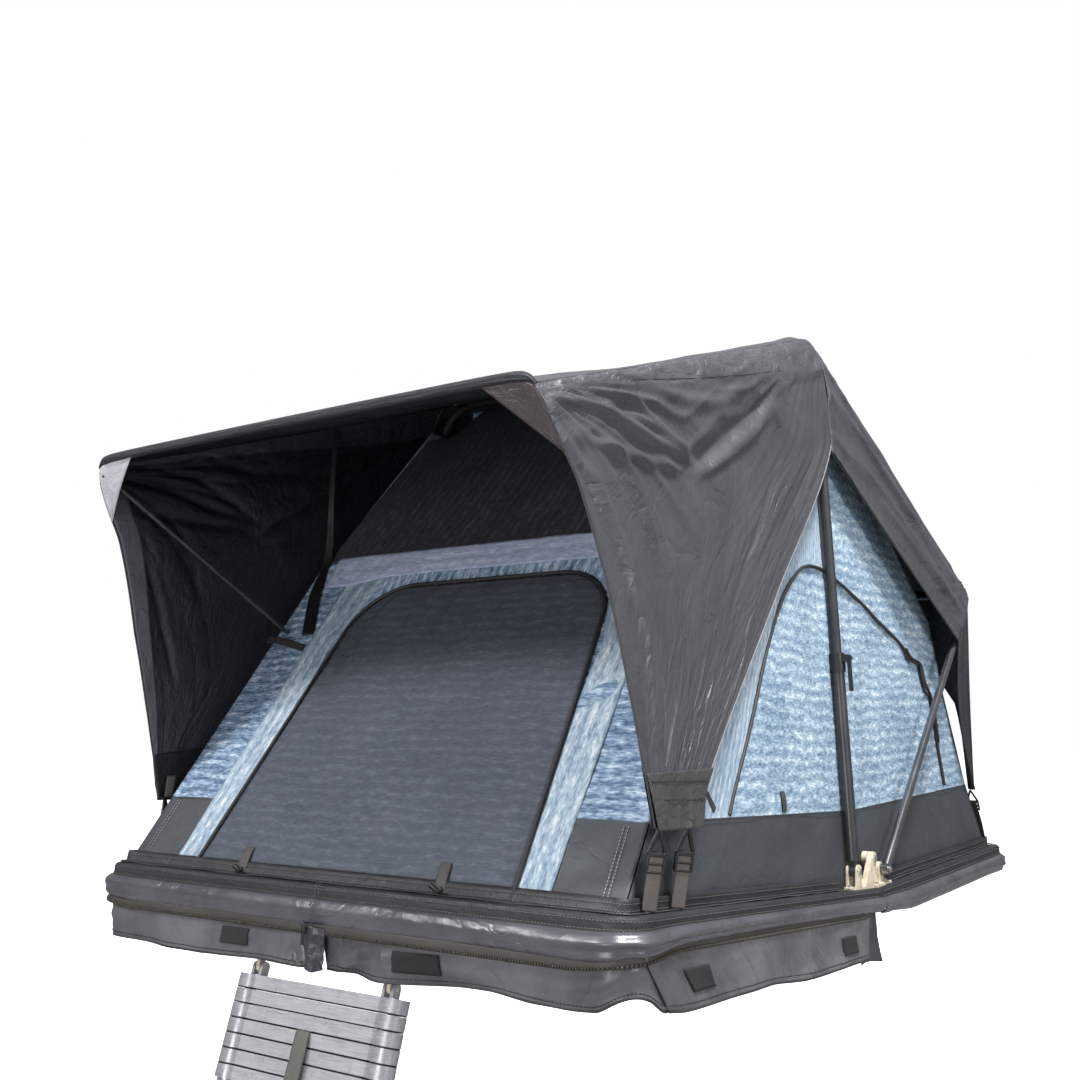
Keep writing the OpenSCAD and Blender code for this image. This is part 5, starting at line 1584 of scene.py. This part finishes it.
doorTies = [(-305, 68, 10), (270, 72, 10)]
toggles = [(8, 2, 16, 0.5, (34, 9, 10), 3.5), (20, 8, 20, -0.6, (26, 7, 8), 3.0)]
thirds = (0, 0.33, 0.66, 1)
for k, (x, high, low) in enumerate(doorTies):
    line = [onWall(x + 12 * t, mix(high, low, t), 8 + 3 * math.sin(3 * t)) for t in thirds]
    strapPiece(f"doorTie{k}", line, (1, 0, 0), 28, "front_base", "tan", rests=["door"])
    bm = bmesh.new()
    for across, down, out, turn, size, bevel in toggles:
        place = Matrix.Translation(onWall(x + across, low - down, out)) @ Matrix.Rotation(turn, 4, "Y")
        blockMesh(bm, place, size, bevel)
    addPiece(f"doorToggle{k}", bm, ["blackPlastic"], "front_base")
for side, name in sides:
    held = ["sideFront" + name]
    line = [sidePoint(-480 + 4 * t, mix(276, 228, t), 6 + 3 * math.sin(3 * t), side) for t in thirds]
    strapPiece("windowTie" + name, line, (0, 1, 0), 20, "front_base", rests=held)
    line = [sidePoint(mix(-856, -824, t), mix(292, 256, t), 5, side) for t in (0, 0.5, 1)]
    strapPiece("windowLeaf" + name, line, (0, 0.6, 0.6), 14, "front_base", rests=held)
    rod = [(side * mix(690, 525, t), mix(706, 664, t), 8 + 6 * math.sin(3 * t)) for t in (0, 0.3, 0.7, 1)]
    upSlope = onWall(0, 1, 0) - onWall(0, 0, 0)
    strapPiece("rodStrap" + name, [onWall(*q) for q in rod], upSlope, 22, "front_base", rests=["frontWall"])
    marks = [(0.0, onWall(side * 536, 711, 8)), (0.25, onWall(side * 600, 860, 14)),
             (0.45, onFront(side * 640, -680, 850)), (0.75, onFront(side * 646, -680, 1060)),
             (1.0, onFront(side * 650, -680, 1246))]

    def eaveTieAt(u, v):  # a narrow fold of the lining, from the door's corner up to the fly
        off = (u - 0.5) * mix(30, 8, v)
        return along(marks, v) + Vector((off / 1000, off / 1500, 0))

    bm, spot = clothGrid(8, 60, eaveTieAt, (0.03, 0.7))
    piece = addPiece("eaveTie" + name, bm, ["flyShade"], "front_base", 1.4, 0.0)

flapMarks = [(0.0, (510, 645, 0)), (0.2, (560, 618, 0)), (0.36, (640, 602, 0)), (0.52, (670, 545, 0)),
             (0.68, (716, 500, 0)), (0.85, (736, 440, 0)), (1.0, (744, 360, 0))]
for side, name in sides:
    def windowFlapAt(u, v):  # the loose rain flap beside the zip
        mark = along(flapMarks, v)
        wide = 5 + 24 * math.sin(math.pi * v) ** 0.7 * (0.6 + 0.4 * math.sin(17 * v))
        off = (u - 0.3) * wide
        return sidePoint(mark.x - off, mark.y - off * 0.6, 8 + 6 * math.sin(3 * u), side)

    bm, spot = clothGrid(8, 70, windowFlapAt, (0.03, 0.42), flip=side < 0)
    piece = addPiece("windowFlap" + name, bm, ["hookTape"], "rear_base", 1.4, 0.0)

for side, name in sides:
    for k, inset in enumerate((38, 48)):
        lean = wall["lean"] * wall["rise"]
        edge = [onWall(side * (wall["x"] - inset - lean * q), q, 4) for q in range(34, 196, 9)]
        stitchRow(f"wallStitch{name}{k}", edge, "front_base")
    for half, place, s in halves:
        ends = bandEnds(s)
        row = []
        for q in range(61):
            y = mix(min(ends) + 6, max(ends) - 6, q / 60)
            z = lineAt(s["band"], y) - 6
            row.append(place(side * (wall["x"] - wall["lean"] * z + 4), y, z))
        title = f"bandStitch{half.title()}{name}"
        stitchRow(title, row, half + "_base", "threadDark", 5, 1.4, 3)
row = [onWall(q, wall["band"] - 6, 4) for q in range(-660, -540, 8)]
stitchRow("bandStitchDoor", row, "front_base", "threadDark", 5, 1.4, 3)

ladder = {"place": (0, -1228, -178), "lean": -math.radians(18), "first": -31, "pitch": 30, "rung": 14}
ladderTurn = Matrix.Translation(onFront(*ladder["place"])) @ Matrix.Rotation(ladder["lean"], 4, "X")
strapTop = ladder["first"] - 3 * ladder["pitch"] + ladder["rung"]
line = [(21, -120), (21.5, -60), (21.4, -10), (16, 1.6), (0, 2.2), (-16, 1.6), (-22, -8), (-27, -40),
        (-31, -110), (-36, -190), (-40, -262)]
points = []
for i, (y, z) in enumerate(line):
    points.append(ladderTurn @ Vector((0.004 * math.sin(i), y / 1000, (strapTop + z) / 1000)))
look = "greyWebbing"
piece = strapPiece("ladderStrap", points, (1, 0, 0), 38, "ladder_4", look, soft=False, rests=["ladder_4"])
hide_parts("ladder_strap")

# dark pads filling the gaps below the rungs: painted shade, dark sheets where the gaps between rungs lie in
# shade
gapShadePad = {"half": 168, "deep": 30, "high": 2.8, "down": 13.2, "gap": 1.6}
for k in range(1, 7):
    bm = bmesh.new()
    spotZ = ladder["first"] - (k - 1) * ladder["pitch"] - gapShadePad["down"] - gapShadePad["gap"]
    blockMesh(bm, ladderTurn @ Matrix.Translation((0, 0, spotZ / 1000)),
              (2 * gapShadePad["half"], gapShadePad["deep"], gapShadePad["high"]), 0.8)
    addPiece(f"gapShadePad{k}", bm, ["blackPlastic"], f"ladder_{k}", soft=False)
    bm = bmesh.new()
    for x in (-0.204, 0.204):  # dark rings in the gaps between the end collars, painted shade for their shaded gaps
        bmesh.ops.create_cone(bm, cap_ends=False, segments=48, radius1=0.0272, radius2=0.0272, depth=0.0028,
                              matrix=ladderTurn @ Matrix.Translation((x, 0, spotZ / 1000)))
    addPiece(f"collarGapShade{k}", bm, ["blackPlastic"], f"ladder_{k}", 1.8, -1.0, soft=False)


def padMesh(y0, y1, place):  # a crowned cushion with drawn-in sides
    bm = bmesh.new()
    bmesh.ops.create_cube(bm, size=1.0)
    bmesh.ops.subdivide_edges(bm, edges=bm.edges, cuts=23, use_grid_fill=True)
    for v in bm.verts:
        u, w, h = v.co.x * 2, v.co.y * 2, v.co.z + 0.5
        crown = 18 * (1 - u**6) * (1 - w**6)
        tuft = 3.5 * max(0.0, math.cos(u * 12)) ** 8 * max(0.0, math.cos(w * 12)) ** 8
        draw = 1 - 0.012 * (2 * h - 1) ** 2
        z = mix(3, 36 + crown - tuft, h)
        v.co = place(u * 607 * draw, mix(y0 + 4, y1 - 4, (w * draw + 1) / 2), z)
    return bm


for half, span, place in (("rear", (16, 1130), onRear), ("front", (-1130, -16), onFront)):
    pad = padMesh(*span, place)
    piece = addPiece(half + "Mattress", pad, ["pad"], half + "_base", soft=False)
    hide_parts(half + "_mattress")

print("stage: finish")
low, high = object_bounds()
{"cad": [list(cadLow), list(cadHigh)], "visual": [list(low), list(high)]}
